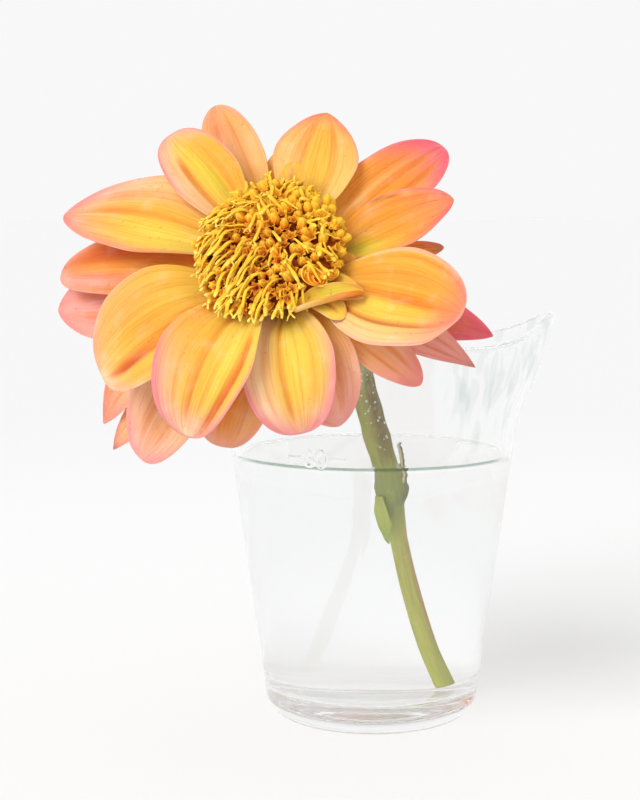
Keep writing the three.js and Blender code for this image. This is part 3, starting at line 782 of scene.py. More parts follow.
softPair = [(-0.3, -0.3, 0.35, 0.12, 0.15, 0.95, 0.35), (0.35, 0.3, 0.35, 0.12, 0.15, 0.95, 0.35)]
frontPetals = [
    petal(19.5, 27, 13, 24, 3, 0.8, [
        (0.2, 0.25, 0.5, 0.14, 0.1, 0.95, 0.4), (-0.35, -0.2, 0.3, 0.1, 0.15, 0.85, 0.15),
        (0.68, 0.6, 0.4, 0.1, 0.2, 0.9, 0.45),
    ], {
        "ground": ("gold", "amber"), "lime": 0.8, "above": ("amber", 0.8),
        "flush": ("coral", 0.58, 0.9), "edge": ("rose", 0.86, 0.5), "rim": ("pink", 0.5), "washes": [
            ("lime", 0.24, 0.22, -0.4, 0.5, 0.9), ("lemon", 0.45, 0.2, -0.6, 0.2, 0.3),
            ("amber", 0.6, 0.35, 0.1, 0.5, 0.7), ("coral", 0.9, 0.2, 0.2, 0.5, 0.4),
            ("peach", 0.42, 0.1, 0.7, 0.12, 0.5), ("brown", 0.5, 0.06, 0.95, 0.06, 0.8),
            ("brown", 0.6, 0.05, 0.86, 0.05, 0.6),
        ],
    }, bend=0.5, point=0.65),
    petal(75, 27.5, 18.5, 22, -20, 1.2, [
        (-0.3, -0.35, 0.45, 0.12, 0.1, 0.95, 0.3), (0.3, 0.38, 0.45, 0.12, 0.1, 0.95, 0.35),
        (0.0, 0.02, 0.25, 0.08, 0.2, 0.9, 0.15),
    ], {
        "lime": 0.2, "above": ("peach", 0.6), "below": ("peach", 0.4), "flush": ("amber", 0.5, 0.6),
        "edge": ("coral", 0.8, 0.85), "rim": ("pink", 0.55),
        "washes": [("gold", 0.5, 0.3, 0.0, 0.25, 0.6)],
    }, bend=5.5, round=2.0, point=0.85),
    petal(133, 30.5, 13.5, 32, -18, 2.3, [
        (0.42, 0.3, 0.8, 0.12, 0.1, 0.8, 0.9), (-0.25, -0.3, 0.35, 0.12, 0.1, 0.9, 0.1),
    ], {
        "ground": ("gold", "gold"), "lime": 0.5, "above": ("peach", 0.95),
        "flush": ("peach", 0.74, 0.7), "edge": ("blush", 0.84, 0.8), "below": ("amber", 0.5),
        "rim": ("pink", 0.8), "washes": [
            ("lime", 0.45, 0.25, -0.1, 0.22, 0.55), ("lemon", 0.4, 0.4, 0.1, 0.2, 0.5),
            ("blush", 0.7, 0.3, 0.9, 0.2, 0.7),
        ],
    }),
    petal(155, 37, 19.5, 24, -11, 0.4, [
        (-0.1, -0.05, 0.5, 0.11, 0.1, 0.92, 0.6), (0.45, 0.4, 0.35, 0.1, 0.1, 0.9, 0.15),
        (-0.55, -0.5, 0.3, 0.1, 0.2, 0.9, 0.3),
    ], {
        "lime": 0.2, "below": ("peach", 0.85), "flush": ("blush", 0.58, 0.85),
        "edge": ("rose", 0.86, 0.5), "washes": [
            ("amber", 0.35, 0.3, -0.3, 0.22, 0.25), ("lemon", 0.4, 0.3, 0.4, 0.25, 0.8),
            ("coral", 0.55, 0.4, 1.0, 0.16, 0.75),
        ],
    }, bend=9.5, round=1.8, point=0.65),
    petal(212.5, 32, 23, 36, -35, 0.1, [
        (0.2, 0.42, 1.1, 0.12, 0.15, 0.98, 1.0), (-0.15, -0.05, 0.4, 0.09, 0.08, 0.75, 0.35),
        (-0.6, -0.5, 0.25, 0.1, 0.2, 0.8, 0.12), (0.62, 0.68, 0.4, 0.09, 0.2, 0.9, 0.4),
    ], {
        "ground": ("gold", "gold"), "lime": 0.2, "below": ("peach", 0.5), "flush": ("peach", 0.7, 0.5),
        "margins": (0.35, 0.7), "edge": ("blush", 0.86, 0.7), "washes": [
            ("amber", 0.4, 0.45, 0.15, 0.6, 0.75), ("amber", 0.75, 0.3, -0.6, 0.4, 0.5),
            # the rust wash on this line and the last amber one lie along the deep groove: painted shade
            ("rust", 0.8, 0.15, 0.38, 0.13, 0.85), ("lemon", 0.5, 0.25, 0.62, 0.14, 0.7),
            ("cream", 1.0, 0.06, 0.3, 0.5, 0.8), ("lemon", 0.35, 0.2, -0.3, 0.3, 0.5),
            ("amber", 0.35, 0.2, 0.28, 0.14, 0.5),
        ],
    }, bend=2, claw=0.2, round=3),
    petal(251, 34, 20, 54, -70, 2, [
        (-0.12, -0.04, 0.8, 0.08, 0.1, 0.98, 0.65), (0.78, 0.62, 0.9, 0.1, 0.25, 0.97, 1.0),
        (0.3, 0.28, 0.3, 0.06, 0.2, 0.9, 0.3), (-0.5, -0.42, 0.3, 0.09, 0.2, 0.9, 0.2),
        (0.08, 0.12, 0.25, 0.05, 0.25, 0.85, 0.2),
    ], {
        "lime": 0.3, "below": ("peach", 0.85), "flush": ("blush", 0.72, 0.8),
        "edge": ("rose", 0.86, 0.4), "margins": (0.32, 0.7), "rim": ("pink", 0.8), "washes": [
            ("pink", 0.75, 0.3, -0.97, 0.25, 0.9), ("lemon", 0.42, 0.25, 0.42, 0.14, 0.6),
            ("amber", 0.22, 0.25, -0.8, 0.35, 0.9), ("blush", 0.9, 0.1, 0.0, 0.8, 0.4),
            ("amber", 0.5, 0.3, -0.35, 0.3, 0.4), ("cream", 0.95, 0.08, 0.0, 0.6, 0.5),
            # the rust wash on this line lies along the right-hand groove: painted shade
            ("rust", 0.75, 0.25, 0.72, 0.07, 0.7), ("cream", 1.0, 0.05, 0.1, 0.5, 0.8),
            ("gold", 0.25, 0.2, -0.3, 0.3, 0.5),
        ],
    }, bend=-1.5, claw=0.2, cupRoot=55, round=2.1, point=0.6),
    petal(286, 28.5, 18, 45, -66, 1, [
        (-0.18, -0.12, 0.9, 0.07, 0.1, 0.97, 0.65), (0.55, 0.5, 0.35, 0.09, 0.15, 0.9, 0.2),
        (0.2, 0.22, 0.25, 0.05, 0.2, 0.9, 0.25), (-0.55, -0.5, 0.25, 0.09, 0.2, 0.9, 0.15),
    ], {
        "lime": 0.9, "below": ("peach", 0.9), "flush": ("blush", 0.68, 0.85),
        "edge": ("pink", 0.86, 0.8), "rim": ("pink", 0.8), "washes": [
            ("lemon", 0.5, 0.3, 0.15, 0.25, 0.7), ("peach", 0.35, 0.25, 0.9, 0.2, 0.6),
            # the cream wash on this line is painted light, lifting the side that the neighbouring petal
            # shades
            ("cream", 0.4, 0.4, -0.75, 0.3, 0.6), ("pink", 0.75, 0.3, 0.98, 0.2, 0.8),
            ("pink", 0.8, 0.25, -0.98, 0.2, 0.8),
        ],
    }, bend=-1, claw=0.2),
    petal(336.5, 32, 21, 31, -6, 1.7, [
        (0.1, 0.0, 0.9, 0.09, 0.1, 0.92, 0.95), (-0.56, -0.6, 0.7, 0.06, 0.12, 0.97, 0.85),
        (0.5, 0.45, 0.3, 0.09, 0.15, 0.85, 0.25), (-0.25, -0.3, 0.3, 0.06, 0.15, 0.85, 0.2),
        (0.85, 0.85, 0.3, 0.05, 0.2, 0.95, 0.6),
    ], {
        "ground": ("gold", "gold"), "flush": ("coral", 0.74, 0.95), "edge": ("pink", 0.87, 0.6),
        "rim": ("blush", 0.8), "washes": [
            ("lemon", 0.45, 0.35, -0.3, 0.2, 0.8), ("amber", 0.6, 0.45, 0.5, 0.35, 0.85),
            # the orange wash down the middle groove and the thin brown one along the fold of the rolled
            # margin are painted shade
            ("orange", 0.78, 0.2, 0.0, 0.18, 0.9), ("cream", 0.35, 0.3, -0.92, 0.2, 0.8),
            ("peach", 0.62, 0.4, -0.92, 0.24, 0.9), ("brown", 0.55, 0.3, -0.58, 0.045, 0.5),
            ("peach", 0.5, 0.4, 0.98, 0.05, 0.9), ("coral", 0.95, 0.1, 0.0, 0.6, 0.5),
        ],
    }, bend=3, claw=0.2, broad=0.65, cupRoot=50, cupTip=24, rolls=[(-1, -1.6, 0.6)]),
]
middlePetals = [
    petal(44, 31, 16, 14, -8, -0.5, [
        (-0.35, -0.4, 0.5, 0.11, 0.15, 0.95, 0.7), (0.1, 0.1, 0.5, 0.11, 0.15, 0.95, 0.8),
        (0.5, 0.5, 0.35, 0.1, 0.2, 0.9, 0.5),
    ], {
        "ground": ("gold", "amber"), "lime": 0.1, "flush": ("coral", 0.5, 0.85),
        "edge": ("rose", 0.68, 0.95), "rim": ("pink", 0.6), "washes": [
            ("peach", 0.45, 0.25, -0.75, 0.2, 0.7), ("peach", 0.4, 0.25, 0.3, 0.1, 0.5),
        ],
    }, bend=0.5),
    petal(117.5, 36, 12, 12, -12, -0.5, softPair, {
        "ground": ("gold", "peach"), "flush": ("amber", 0.4, 0.65), "edge": ("blush", 0.85, 0.6),
        "washes": [
            ("brown", 0.6, 0.2, 0.0, 0.3, 0.25), ("coral", 0.8, 0.2, 0.3, 0.5, 0.4),
        ],
    }, point=0.6),
    petal(177, 38, 14.5, 11, -18, -0.8, [
        (-0.3, -0.35, 0.4, 0.2, 0.2, 0.97, 0.9), (0.35, 0.3, 0.35, 0.12, 0.2, 0.95, 0.5),
    ], {
        "ground": ("amber", "amber"), "flush": ("coral", 0.7, 0.6), "edge": ("blush", 0.85, 0.6),
        "washes": [
            ("rust", 0.65, 0.4, -0.55, 0.3, 0.85), ("blush", 0.8, 0.25, 0.55, 0.35, 0.85),
            # the brown wash along the lower margin is painted shadow
            ("brown", 0.5, 0.25, 0.9, 0.2, 0.3),
        ],
    }, bend=1),
    petal(262, 28.5, 15.5, 26, -66, -1, softPair, {
        "ground": ("gold", "amber"), "flush": ("coral", 0.6, 0.35), "edge": ("blush", 0.8, 0.8),
        "washes": [
            # the rust wash on this line is painted shade along the side next to its neighbour
            ("rust", 0.6, 0.3, -0.8, 0.25, 0.6), ("peach", 0.75, 0.2, 0.5, 0.3, 0.7),
        ],
    }, bend=-4),
    petal(300, 26, 14.5, 28, -68, -0.5, softPair, {
        "ground": ("gold", "peach"), "flush": ("blush", 0.3, 0.9), "edge": ("pink", 0.8, 0.5),
    }, bend=-2, point=0.7),
    petal(324.5, 26.3, 9.5, 11, -40, -1.5, softPair, {
        "ground": ("lemon", "peach"), "flush": ("blush", 0.4, 0.7), "edge": ("rose", 0.7, 0.6),
        "washes": [("orange", 0.4, 0.35, -0.3, 0.7, 0.3)],
    }, bend=1, point=0.6),
]
backPetals = [
    petal(15.5, 22, 5, 2, -8, -2, softPair, {
        "ground": ("amber", "amber"), "flush": ("salmon", 0.4, 0.4), "washes": [
            ("gold", 0.6, 0.4, -0.5, 0.6, 0.6), ("olive", 0.97, 0.06, 0.0, 1.0, 0.4),
        ],
    }),
    petal(190, 39, 20, 2, -16, -2.8, softPair, {
        "ground": ("peach", "blush"), "flush": ("blush", 0.4, 0.8), "edge": ("pink", 0.88, 0.6),
    }, bend=-4, point=0.7),
    petal(199.5, 47, 17, -6, -61, -4.4, softPair, {
        "ground": ("amber", "peach"), "flush": ("coral", 0.45, 0.8), "edge": ("salmon", 0.7, 0.6),
    }, root=8.2, bend=3, claw=0.2, round=1.8, point=0.8),
    petal(229.5, 36.5, 19, 1, -43, -2.9, softPair, {
        "ground": ("amber", "peach"), "flush": ("blush", 0.5, 0.7), "edge": ("pink", 0.86, 0.75),
        "washes": [
            ("brown", 0.75, 0.12, -0.1, 0.35, 0.25), ("amber", 0.6, 0.15, 0.2, 0.4, 0.4),
        ],
    }),
    petal(341, 32, 10.5, 2, -36, -2.6, softPair, {
        "ground": ("cream", "blush"), "flush": ("blush", 0.4, 0.5), "edge": ("pink", 0.8, 0.5),
        "washes": [("olive", 1.0, 0.05, 0.0, 0.6, 0.7)],
    }, round=1.4, point=0.9),
    petal(353, 32.5, 12, -7, -28, -4, softPair, {
        "ground": ("coral", "salmon"), "flush": ("rose", 0.4, 0.75), "edge": ("rose", 0.8, 0.6),
    }, root=8.4, round=1.7, point=0.8),
    petal(217, 46, 11, -14, -54, -4.6, softPair, {
        "ground": ("amber", "peach"), "flush": ("coral", 0.6, 0.5),
        "washes": [("brown", 1.0, 0.05, 0.0, 1.0, 0.9)],
    }, root=8.2, bend=-4.5, claw=0.2, round=1.5, point=0.8),
]
smallCrease = [(0.0, 0.0, 0.3, 0.2, 0.1, 0.95, 0.35)]
petaloids = [
    petal(319, 14, 5.4, 54, -10, 2.9, smallCrease, {
        "ground": ("gold", "lemon"), "lime": 0.3, "flush": ("gold", 0.5, 0.4),
        "edge": ("coral", 0.95, 0.2), "above": ("amber", 0.4),
    }, claw=0.4),
    petal(332, 14, 5.4, 42, 0, 3.9, smallCrease, {
        "lime": 0.3, "flush": ("gold", 0.6, 0.7), "edge": ("coral", 0.95, 0.4),
        "washes": [("lime", 0.55, 0.2, 0.2, 0.5, 0.35)],
    }, claw=0.4, point=0.8),
    # a folded lobe lies along the disc's edge like a boat, open upwards, its near side orange
    petal(15, 13, 6.6, 12, -6, 0, smallCrease, {
        "ground": ("gold", "lemon"), "lime": 0.2, "flush": ("gold", 0.6, 0.5),
        "edge": ("coral", 0.9, 0.4), "rim": ("peach", 0.95), "under": ("gold", "orange"),
        "washes": [("lime", 0.55, 0.25, 0.4, 0.4, 0.35)],
    }, claw=0.45, root=0, at=(6.8, -12.8, 8.6), rows=40, columns=41, broad=0.4, roll=20, cupRoot=120,
       cupTip=130),
    # a small rounded one stands behind the disc
    petal(82, 8.2, 5.4, 32, 20, 0, smallCrease, {
        "ground": ("gold", "gold"), "lime": 0.4, "flush": ("gold", 0.6, 0.5),
        "edge": ("amber", 0.95, 0.2), "rim": ("lemon", 0.3),
        "washes": [("olive", 0.5, 0.4, 0.0, 0.8, 0.22)],
    }, claw=0.6, root=10.6, at=(0, 0, 7.6), rows=40, columns=31, broad=0.5, round=3),
    # and two more fill the gaps beside it, under its neighbours, and on the right
    petal(98, 20, 9, 10, 2, -1.6, smallCrease, {
        "ground": ("gold", "gold"), "flush": ("peach", 0.5, 0.5), "edge": ("blush", 0.9, 0.4),
        "washes": [("amber", 0.6, 0.4, 0.4, 0.5, 0.4)],
    }, claw=0.5, rows=50, columns=31),
    petal(357, 7, 5.5, 20, 8, 0, smallCrease, {
        "ground": ("lime", "gold"), "flush": ("amber", 0.6, 0.4), "edge": ("amber", 0.95, 0.2),
    }, claw=0.6, root=9, at=(0, 0, 3.4), rows=40, columns=31, broad=0.5, round=3),
]


def addRing(ring, node, blades, material, slotName, known=99):
    # the first of them, as many as are known, each stand for a node of the same number
    for number, blade in enumerate(blades, 1):
        points, faces, s, t = bladeMesh(blade)
        seat = number + 10 * len(slotName)
        addPiece(f"{ring}_{number}", material, slotName, onHead(points), faces, bladeUv(s, t, seat),
                 bladePaint(blade["paint"], blade["grooves"], s, t),
                 nodes=[f"{node}_{number}"] if number <= known else [])
    print(ring, "petals made")


raySkin = petalMaterial("petal skin")
addRing("front_ray", "front_petal", frontPetals, raySkin, "front_petal")
addRing("middle_ray", "middle_petal", middlePetals, raySkin, "middle_petal")
addRing("back_ray", "back_petal", backPetals, raySkin, "back_petal")
addRing("small_ray", "inner_petaloid", petaloids, raySkin, "petaloid", known=2)


bracts = {
    "inner": {
        **ray, "root": 7.7, "thickness": 0.3, "claw": 0.55, "broad": 0.45, "cupRoot": 40, "cupTip": 20,
        "length": 12, "width": 6.6, "lift": -17, "tip": -44, "base": -5.5, "rows": 30, "columns": 21,
    },
    "outer": {
        **ray, "root": 5.3, "thickness": 0.5, "claw": 0.5, "broad": 0.7, "cupRoot": 20, "cupTip": 20,
        "length": 11, "width": 5, "lift": -18, "tip": -84, "base": -7.6, "rows": 30, "columns": 21,
        "round": 3,
    },
    "innerCount": 8, "innerFirst": 10, "outerCount": 5, "outerFirst": 54,
    "innerTints": (colour(204, 196, 120), colour(170, 124, 76)),
    "outerTints": (colour(130, 164, 74), colour(104, 136, 60)),
}
leaf = {
    **ray, "root": 3.0, "base": 0, "thickness": 0.36, "claw": 0.5, "broad": 0.4, "cupRoot": 50,
    "cupTip": 30, "round": 1.3, "point": 0.8, "azimuth": 215, "length": 11, "width": 4.6, "lift": -104,
    "tip": -116, "bend": -2.5, "rows": 40, "columns": 23, "grooves": [(0, 0, 0.25, 0.1, 0.05, 0.98, 0)],
    "height": 51.6, "shift": (0.6, 0, -0.9), "tints": (colour(178, 186, 88), colour(152, 170, 72)),
}


def greenBlade(blade, tints):
    points, faces, s, t = bladeMesh(blade)
    tone = mixed(tints[0], tints[1], ramp(0.3, 1, s + 0.3 * t * t))
    return points, faces, bladeUv(s, t, blade["azimuth"]), np.concatenate([tone.reshape(-1, 3)] * 2)


bractMaterial = greenMaterial("bract skin", (0.5, 0.55, 0.25), (0.72, 0.74, 0.5), (1.5, 26.0))
for kind in ("inner", "outer"):
    count, first = bracts[kind + "Count"], bracts[kind + "First"]
    for number in range(count):
        blade = {**bracts[kind], "azimuth": first + number * 360 / count}
        points, *rest = greenBlade(blade, bracts[kind + "Tints"])
        addPiece(f"{kind}_scale_{number + 1}", bractMaterial, kind + "_bract", onHead(points), *rest,
                 nodes=[f"{kind}_bract_{number + 1}"])

points, *rest = greenBlade(leaf, leaf["tints"])
leafRoot = stem["stops"][np.searchsorted(stem["stops"][:, 2], leaf["height"]), :3].copy()
leafRoot[2] = leaf["height"]
points = points + leafRoot + leaf["shift"]
addPiece("small_leaf", bractMaterial, "leaf", points, *rest, nodes=["stem_leaf"])

r = receptacle["radius"]
low, high, neck = receptacle["bottom"], receptacle["top"], receptacle["neck"]
outline = curveThrough(np.array([
    [neck, low], [neck + 0.5, low + 1.1], [r * 0.55, low + 2.4], [r * 0.8, low + 4],
    [r * 0.95, low + 5.6], [r, low + 7], [r, high - 0.3], [r - 0.4, high],
]), 40)
points, faces = turnedPiece(np.concatenate([[[0, low]], outline, [[0, high]]]), allRound(6))
uv = np.stack([points[:, 2] * 0.2, np.arctan2(points[:, 1], points[:, 0]) / (2 * np.pi)], -1)
paint = np.tile(receptacle["tint"], (len(points), 1))
addPiece("flower_cup", bractMaterial, "receptacle", onHead(points), faces, uv, paint,
         nodes=["receptacle"])
print("green parts made")


disc = {
    "seed": 7, "count": 225, "radius": 12.7, "widest": 8.4, "crown": 11.6, "foot": 6.4, "base": 2.6,
    "budLength": (2.2, 3.5), "budWidth": (0.7, 1.0), "tubeLength": (1.6, 2.6), "tubeWidth": (0.6, 0.84),
    "strapLength": (4, 8.2), "strapWidth": (0.6, 0.98), "strapThickness": 0.55, "forks": 0.3,
    "sweep": (-0.5, -0.87), "reach": 13.4, "reachBelow": 3.2, "reachAbove": 1.8, "goldenAngle": 137.50776,
    # how many stand on each ring of the side, its radius and its height
    "flank": [(38, 12.3, 7.9), (36, 11.6, 6.6)],
    # the larger curled florets: x, y and height of the foot, size and turn in degrees
    "curled": [(9.2, -6.9, 9.8, 2.2, 20), (12.2, -5.7, 8.8, 1.3, 70)],
    "dark": colour(148, 56, 28), "bark": colour(216, 112, 30), "amber": colour(255, 172, 40),
    "gold": colour(255, 206, 60), "pale": colour(255, 232, 112),
}
discTints = [disc[name] for name in ("dark", "bark", "amber", "gold", "pale")]
draw = np.random.default_rng(disc["seed"])


def domeHeight(reach):
    # half an ellipse over the widest ring, then a slow fall past it
    inside = np.sqrt(np.clip(1 - (reach / disc["radius"]) ** 2, 0, 1))
    past = np.maximum(reach - disc["radius"], 0)
    return disc["widest"] + (disc["crown"] - disc["widest"]) * inside - 0.25 * past


def domeNormal(place):
    # the ellipsoid's gradient, held up a little at its rim
    up = np.maximum(place[..., 2:] - disc["widest"], 0.6) / (disc["crown"] - disc["widest"]) ** 2
    return unit(np.concatenate([place[..., :2] / disc["radius"] ** 2, up], -1))


def discPlaces(count):
    # seeds on a flat dome, each turned by the golden angle from the last
    number = np.arange(count)
    share = np.sqrt((number + 0.5) / count)
    azimuth = np.radians(number * disc["goldenAngle"]) + draw.normal(0, 0.03, count)
    across = disc["radius"] * np.minimum(share + draw.normal(0, 0.012, count), 0.985)
    place = np.stack([across * np.cos(azimuth), across * np.sin(azimuth), domeHeight(across)], -1)
    # two more rings stand on the dome's side
    for many, reach, height in disc["flank"]:
        turn = np.arange(many) * 2 * np.pi / many + draw.normal(0, 0.05, many)
        level = height + draw.normal(0, 0.15, many)
        added = np.stack([reach * np.cos(turn), reach * np.sin(turn), level], -1)
        place = np.concatenate([place, added])
        share = np.append(share, np.ones(many))
    clear = np.ones(len(place), dtype=bool)
    for x, y, z, size, turn in disc["curled"]:
        clear &= np.hypot(place[:, 0] - x, place[:, 1] - y) > size * 0.62
    return place[clear], share[clear]


def florets(grid, ends, tone, shades):
    # tubes with the same paint, each one lighter or darker as drawn between two shades, and all
    # of them paler gold towards the top of the disc, and towards its right as painted light on the
    # half-shaded side
    points, faces = manyTubes(grid, ends)
    paint = (tone[None] * draw.uniform(*shades, (len(grid), 1, 1))).clip(0, 1).reshape(-1, 3)
    # painted light in part: a paler gold lifts the right side, which lies in half shade
    gold = 0.5 * ramp(1, 11, points[:, 1]) + 0.5 * ramp(3, 11, points[:, 0])
    return onHead(points), faces, None, mixed(paint, disc["gold"], gold)


def spread(pair, count):
    return draw.uniform(*pair, count)


def stained(along, stops, tints):
    return np.stack([np.interp(along, stops, part) for part in np.transpose(tints)], -1)


def budsAt(place, direction, length, width, profile, lobes):
    # each is a small turned shape whose section has five lobes; profile rows are
    # height, radius, how strong the lobes are, and where its colour lies between the tints
    around = allRound(36)
    star = np.cos(5 * around)
    side = unit(np.cross(direction, draw.normal(0, 1, direction.shape)))
    other = np.cross(direction, side)
    height, radius, lobe, tint = profile.T
    ring = (radius[:, None] * (1 + lobes * lobe[:, None] * star))[None] * width[:, None, None]
    up = (height[:, None] + 0.06 * lobe[:, None] * star)[None] * length[:, None, None]
    side, other, ahead = side[:, None, None], other[:, None, None], direction[:, None, None]
    section = plane(side, other, ring * np.cos(around), ring * np.sin(around))
    grid = place[:, None, None] + ahead * up[..., None] + section
    ends = place[:, None] + direction[:, None] * (height[[0, -1]][None] * length[:, None])[..., None]
    # painted shade: the seams between the lobes are darker
    seamShade = (0.55 * np.minimum(lobe, 1)[:, None] * (1 - star) / 2).ravel()
    along = np.append(np.repeat(tint, len(around)), tint[[0, -1]])
    tone = mixed(stained(along, np.arange(5), discTints), disc["bark"], np.append(seamShade, [0, 0]))
    return florets(grid, ends, tone, (0.8, 1.1))


def strapsAt(start, heading, length, width, low, rise, tip, tints):
    # a strap's middle line runs from its start along its heading and bows sideways by a sine;
    # its height is the dome's plus a clearance, low at first, then rise, then tip
    rows, count = 9, len(start)
    around = allRound(60)
    u = np.linspace(0, 1, rows)
    bow = draw.normal(0, 0.04, (count, 1)) * np.sin(np.pi * u)
    bow = bow + draw.normal(0, 0.015, (count, 1)) * np.sin(2 * np.pi * u)
    aside = np.stack([-heading[:, 1], heading[:, 0]], -1)
    size = length[:, None]
    flat = start[:, None] + plane(heading[:, None], aside[:, None], size * u, size * bow)
    low, rise, tip = low[:, None], rise[:, None], tip[:, None]
    lift = low + (rise - low) * ramp(0, 0.35, u) + (tip - rise) * ramp(0.5, 1, u)
    height = domeHeight(np.linalg.norm(flat, axis=-1)) + lift
    path = np.concatenate([flat, height[..., None]], -1)
    tangent = unit(np.gradient(path, axis=1))
    side = unit(np.cross(tangent, domeNormal(path)))
    up = np.cross(side, tangent)
    roll = draw.uniform(-0.6, 0.6, (count, 1, 1))
    side, up = side * np.cos(roll) + up * np.sin(roll), up * np.cos(roll) - side * np.sin(roll)
    # its outline is one of three
    outlines = np.stack([
        np.interp(u, [0, 0.2, 0.7, 0.93, 1], [0.55, 0.7, 1.0, 1.0, 0.72]),
        np.interp(u, [0, 0.2, 0.6, 0.85, 1], [0.5, 0.55, 0.75, 1.15, 0.7]),
        np.interp(u, [0, 0.3, 0.6, 1], [0.6, 0.9, 0.85, 0.35]),
    ])[draw.integers(0, 3, count)]
    half = outlines * width[:, None] / 2 * (1 + draw.normal(0, 0.06, (count, rows)))
    half = half[..., None]
    grid = path[:, :, None] + plane(side[:, :, None], up[:, :, None], half * np.cos(around),
                                    half * disc["strapThickness"] * np.sin(around))
    last = path[:, -1:] + tangent[:, -1:] * 0.15 * width[:, None, None]
    # painted shade: the edges and the underside are darker than the upper face
    along = np.append(np.repeat(u, len(around)), [0, 1])
    under = np.append(np.tile(ramp(0.5, -0.7, np.sin(around)), rows), [1, 0])
    tone = mixed(stained(along, [0, 0.3, 0.75, 1], tints), disc["bark"], 0.55 * under)
    return florets(grid, np.concatenate([path[:, :1], last], 1), tone, (0.84, 1.06))


def curledFloret(x, y, z, size, turn):
    # an oval cup with a thin rim and two thin folds inside it that lie off its middle;
    # rows are radius, height, tint and how far the row's middle is shifted along the long way. The tint
    # follows the height: painted highlight on the crests and painted shade in the hollows
    rows = np.array([
        [0.35, 0, 0, 0], [0.62, 0.3, 1.2, 0], [0.86, 0.75, 2.2, 0], [0.98, 1.08, 2.6, 0],
        [1.02, 1.2, 3.4, 0], [0.98, 1.22, 4, 0], [0.92, 1.08, 2.6, 0.02], [0.87, 0.75, 1.8, 0.05],
        [0.76, 0.6, 1.5, 0.12],
        [0.66, 0.78, 2.2, 0.2], [0.63, 0.98, 3.6, 0.22], [0.6, 0.95, 2.6, 0.23], [0.55, 0.66, 1.8, 0.25],
        [0.44, 0.56, 1.6, 0.3], [0.34, 0.66, 2.4, 0.36], [0.31, 0.84, 3.6, 0.38], [0.28, 0.8, 2.4, 0.38],
        [0.2, 0.5, 1.2, 0.38], [0.1, 0.4, 1, 0.38],
    ])
    wide, high, tint, shift = rows.T[..., None]
    around = allRound(10)
    out = unit(np.array([x, y, 0]))
    axis = unit(out * 0.55 + np.array([0, 0, 1]))
    first = unit(np.cross(axis, [-out[1], out[0], 0.01]))
    side = np.cos(np.radians(turn)) * first + np.sin(np.radians(turn)) * np.cross(axis, first)
    radius = wide * (1 + 0.07 * np.cos(3 * around + wide * 3) + 0.05 * np.cos(2 * around + 1))
    up = high * (1 + 0.2 * np.cos(around - 0.6) + 0.06 * np.cos(3 * around))
    along = radius * np.cos(around) * 1.15 - shift
    foot = np.array([x, y, z])
    grid = foot + size * (up[..., None] * axis
                          + plane(side, np.cross(axis, side), along, radius * np.sin(around) * 0.8))
    ends = foot + size * plane(axis, side, high[[0, -1], 0], -shift[[0, -1], 0])
    # painted light and shade: the tints are lighter on the crests and darker in the hollows
    tone = stained(np.append(np.repeat(tint, len(around)), [0, 0]), np.arange(5), discTints)
    points, faces = manyTubes(grid[None], ends[None])
    return onHead(points), faces, None, tone


place, share = discPlaces(disc["count"])
total = len(place)
normal = domeNormal(place)
flat = place[:, :2]
outward = unit(flat)
# 0 at the lower left and 1 at the upper right, where the straps are few and short
upperRight = ramp(-5, 10, flat @ np.array([0.85, 0.5]))
rightSide = ramp(0.15, 0.85, outward[:, 0]) * ramp(0.3, 0.5, share)
heart = ramp(0.42, 0.2, share)
hasStrap = draw.uniform(0, 1, total) < 0.64 - 0.44 * rightSide - 0.06 * heart
isOpen = (hasStrap & (draw.uniform(0, 1, total) < 0.8)) | (draw.uniform(0, 1, total) < 0.3)
lean = unit(normal + draw.normal(0, 0.2, normal.shape))

budProfile = np.array([
    [0, 0.5, 0, 0], [0.3, 0.84, 0.3, 0.9], [0.55, 1.0, 0.6, 1.8], [0.75, 0.9, 0.9, 2.3],
    [0.9, 0.62, 1.0, 2.8], [1, 0.22, 0.3, 3.2],
])
openProfile = np.array([
    [0, 0.5, 0, 0], [0.45, 0.66, 0.1, 0.6], [0.8, 0.95, 0.5, 1.4], [1.0, 1.4, 1.5, 2.8],
    [0.98, 1.28, 1.4, 2.2], [0.75, 0.62, 0.3, 0.8], [0.45, 0.3, 0, 0.1],
])
floretSkin = floretMaterial("floret skin")
for name, chosen, kind, profile, lobes in (("disc_buds", ~isOpen, "bud", budProfile, 0.13),
                                           ("disc_open_florets", isOpen, "tube", openProfile, 0.17)):
    count = int(chosen.sum())
    length, width = spread(disc[kind + "Length"], count), spread(disc[kind + "Width"], count)
    made = budsAt(place[chosen], lean[chosen], length, width, profile, lobes)
    addPiece(name, floretSkin, "disc", *made)

# headings of the straps: swept down to the left, and outward above, to the right and at the rim
rim = ramp(0.7, 1, share)[:, None]
pull = upperRight[:, None]
swept = np.array(disc["sweep"]) * (1 - 0.85 * pull) * (1 - 0.4 * rim)
stray = draw.normal(0, 1, (total, 2)) * (0.22 + 0.4 * pull)
heading = unit((swept + outward * (0.12 + 0.6 * pull + 0.4 * rim) + stray)[hasStrap])
start = flat[hasStrap]
count = len(start)
# a strap stops at a ring that is wider below and above the disc than at its sides
ending = unit(start + heading * 5)
limit = (disc["reach"] + disc["reachBelow"] * np.maximum(-ending[:, 1], 0) ** 1.5
         + disc["reachAbove"] * np.maximum(ending[:, 1], 0) ** 2)
toward, squared = (start * heading).sum(1), (start * start).sum(1)
room = -toward + np.sqrt(np.maximum(toward ** 2 + limit ** 2 - squared, 0.01))
length = spread(disc["strapLength"], count) * (1 - 0.42 * upperRight[hasStrap])
length = np.minimum(length, np.maximum(room * spread((0.8, 1), count), 1.6))
width = spread(disc["strapWidth"], count)
low, rise, tip = np.full(count, 1.3), spread((1.8, 3.8), count), spread((1.6, 4.2), count)
strapTints = [disc["bark"], disc["gold"], disc["gold"], disc["pale"]]
straps = [strapsAt(start, heading, length, width, low, rise, tip, strapTints)]
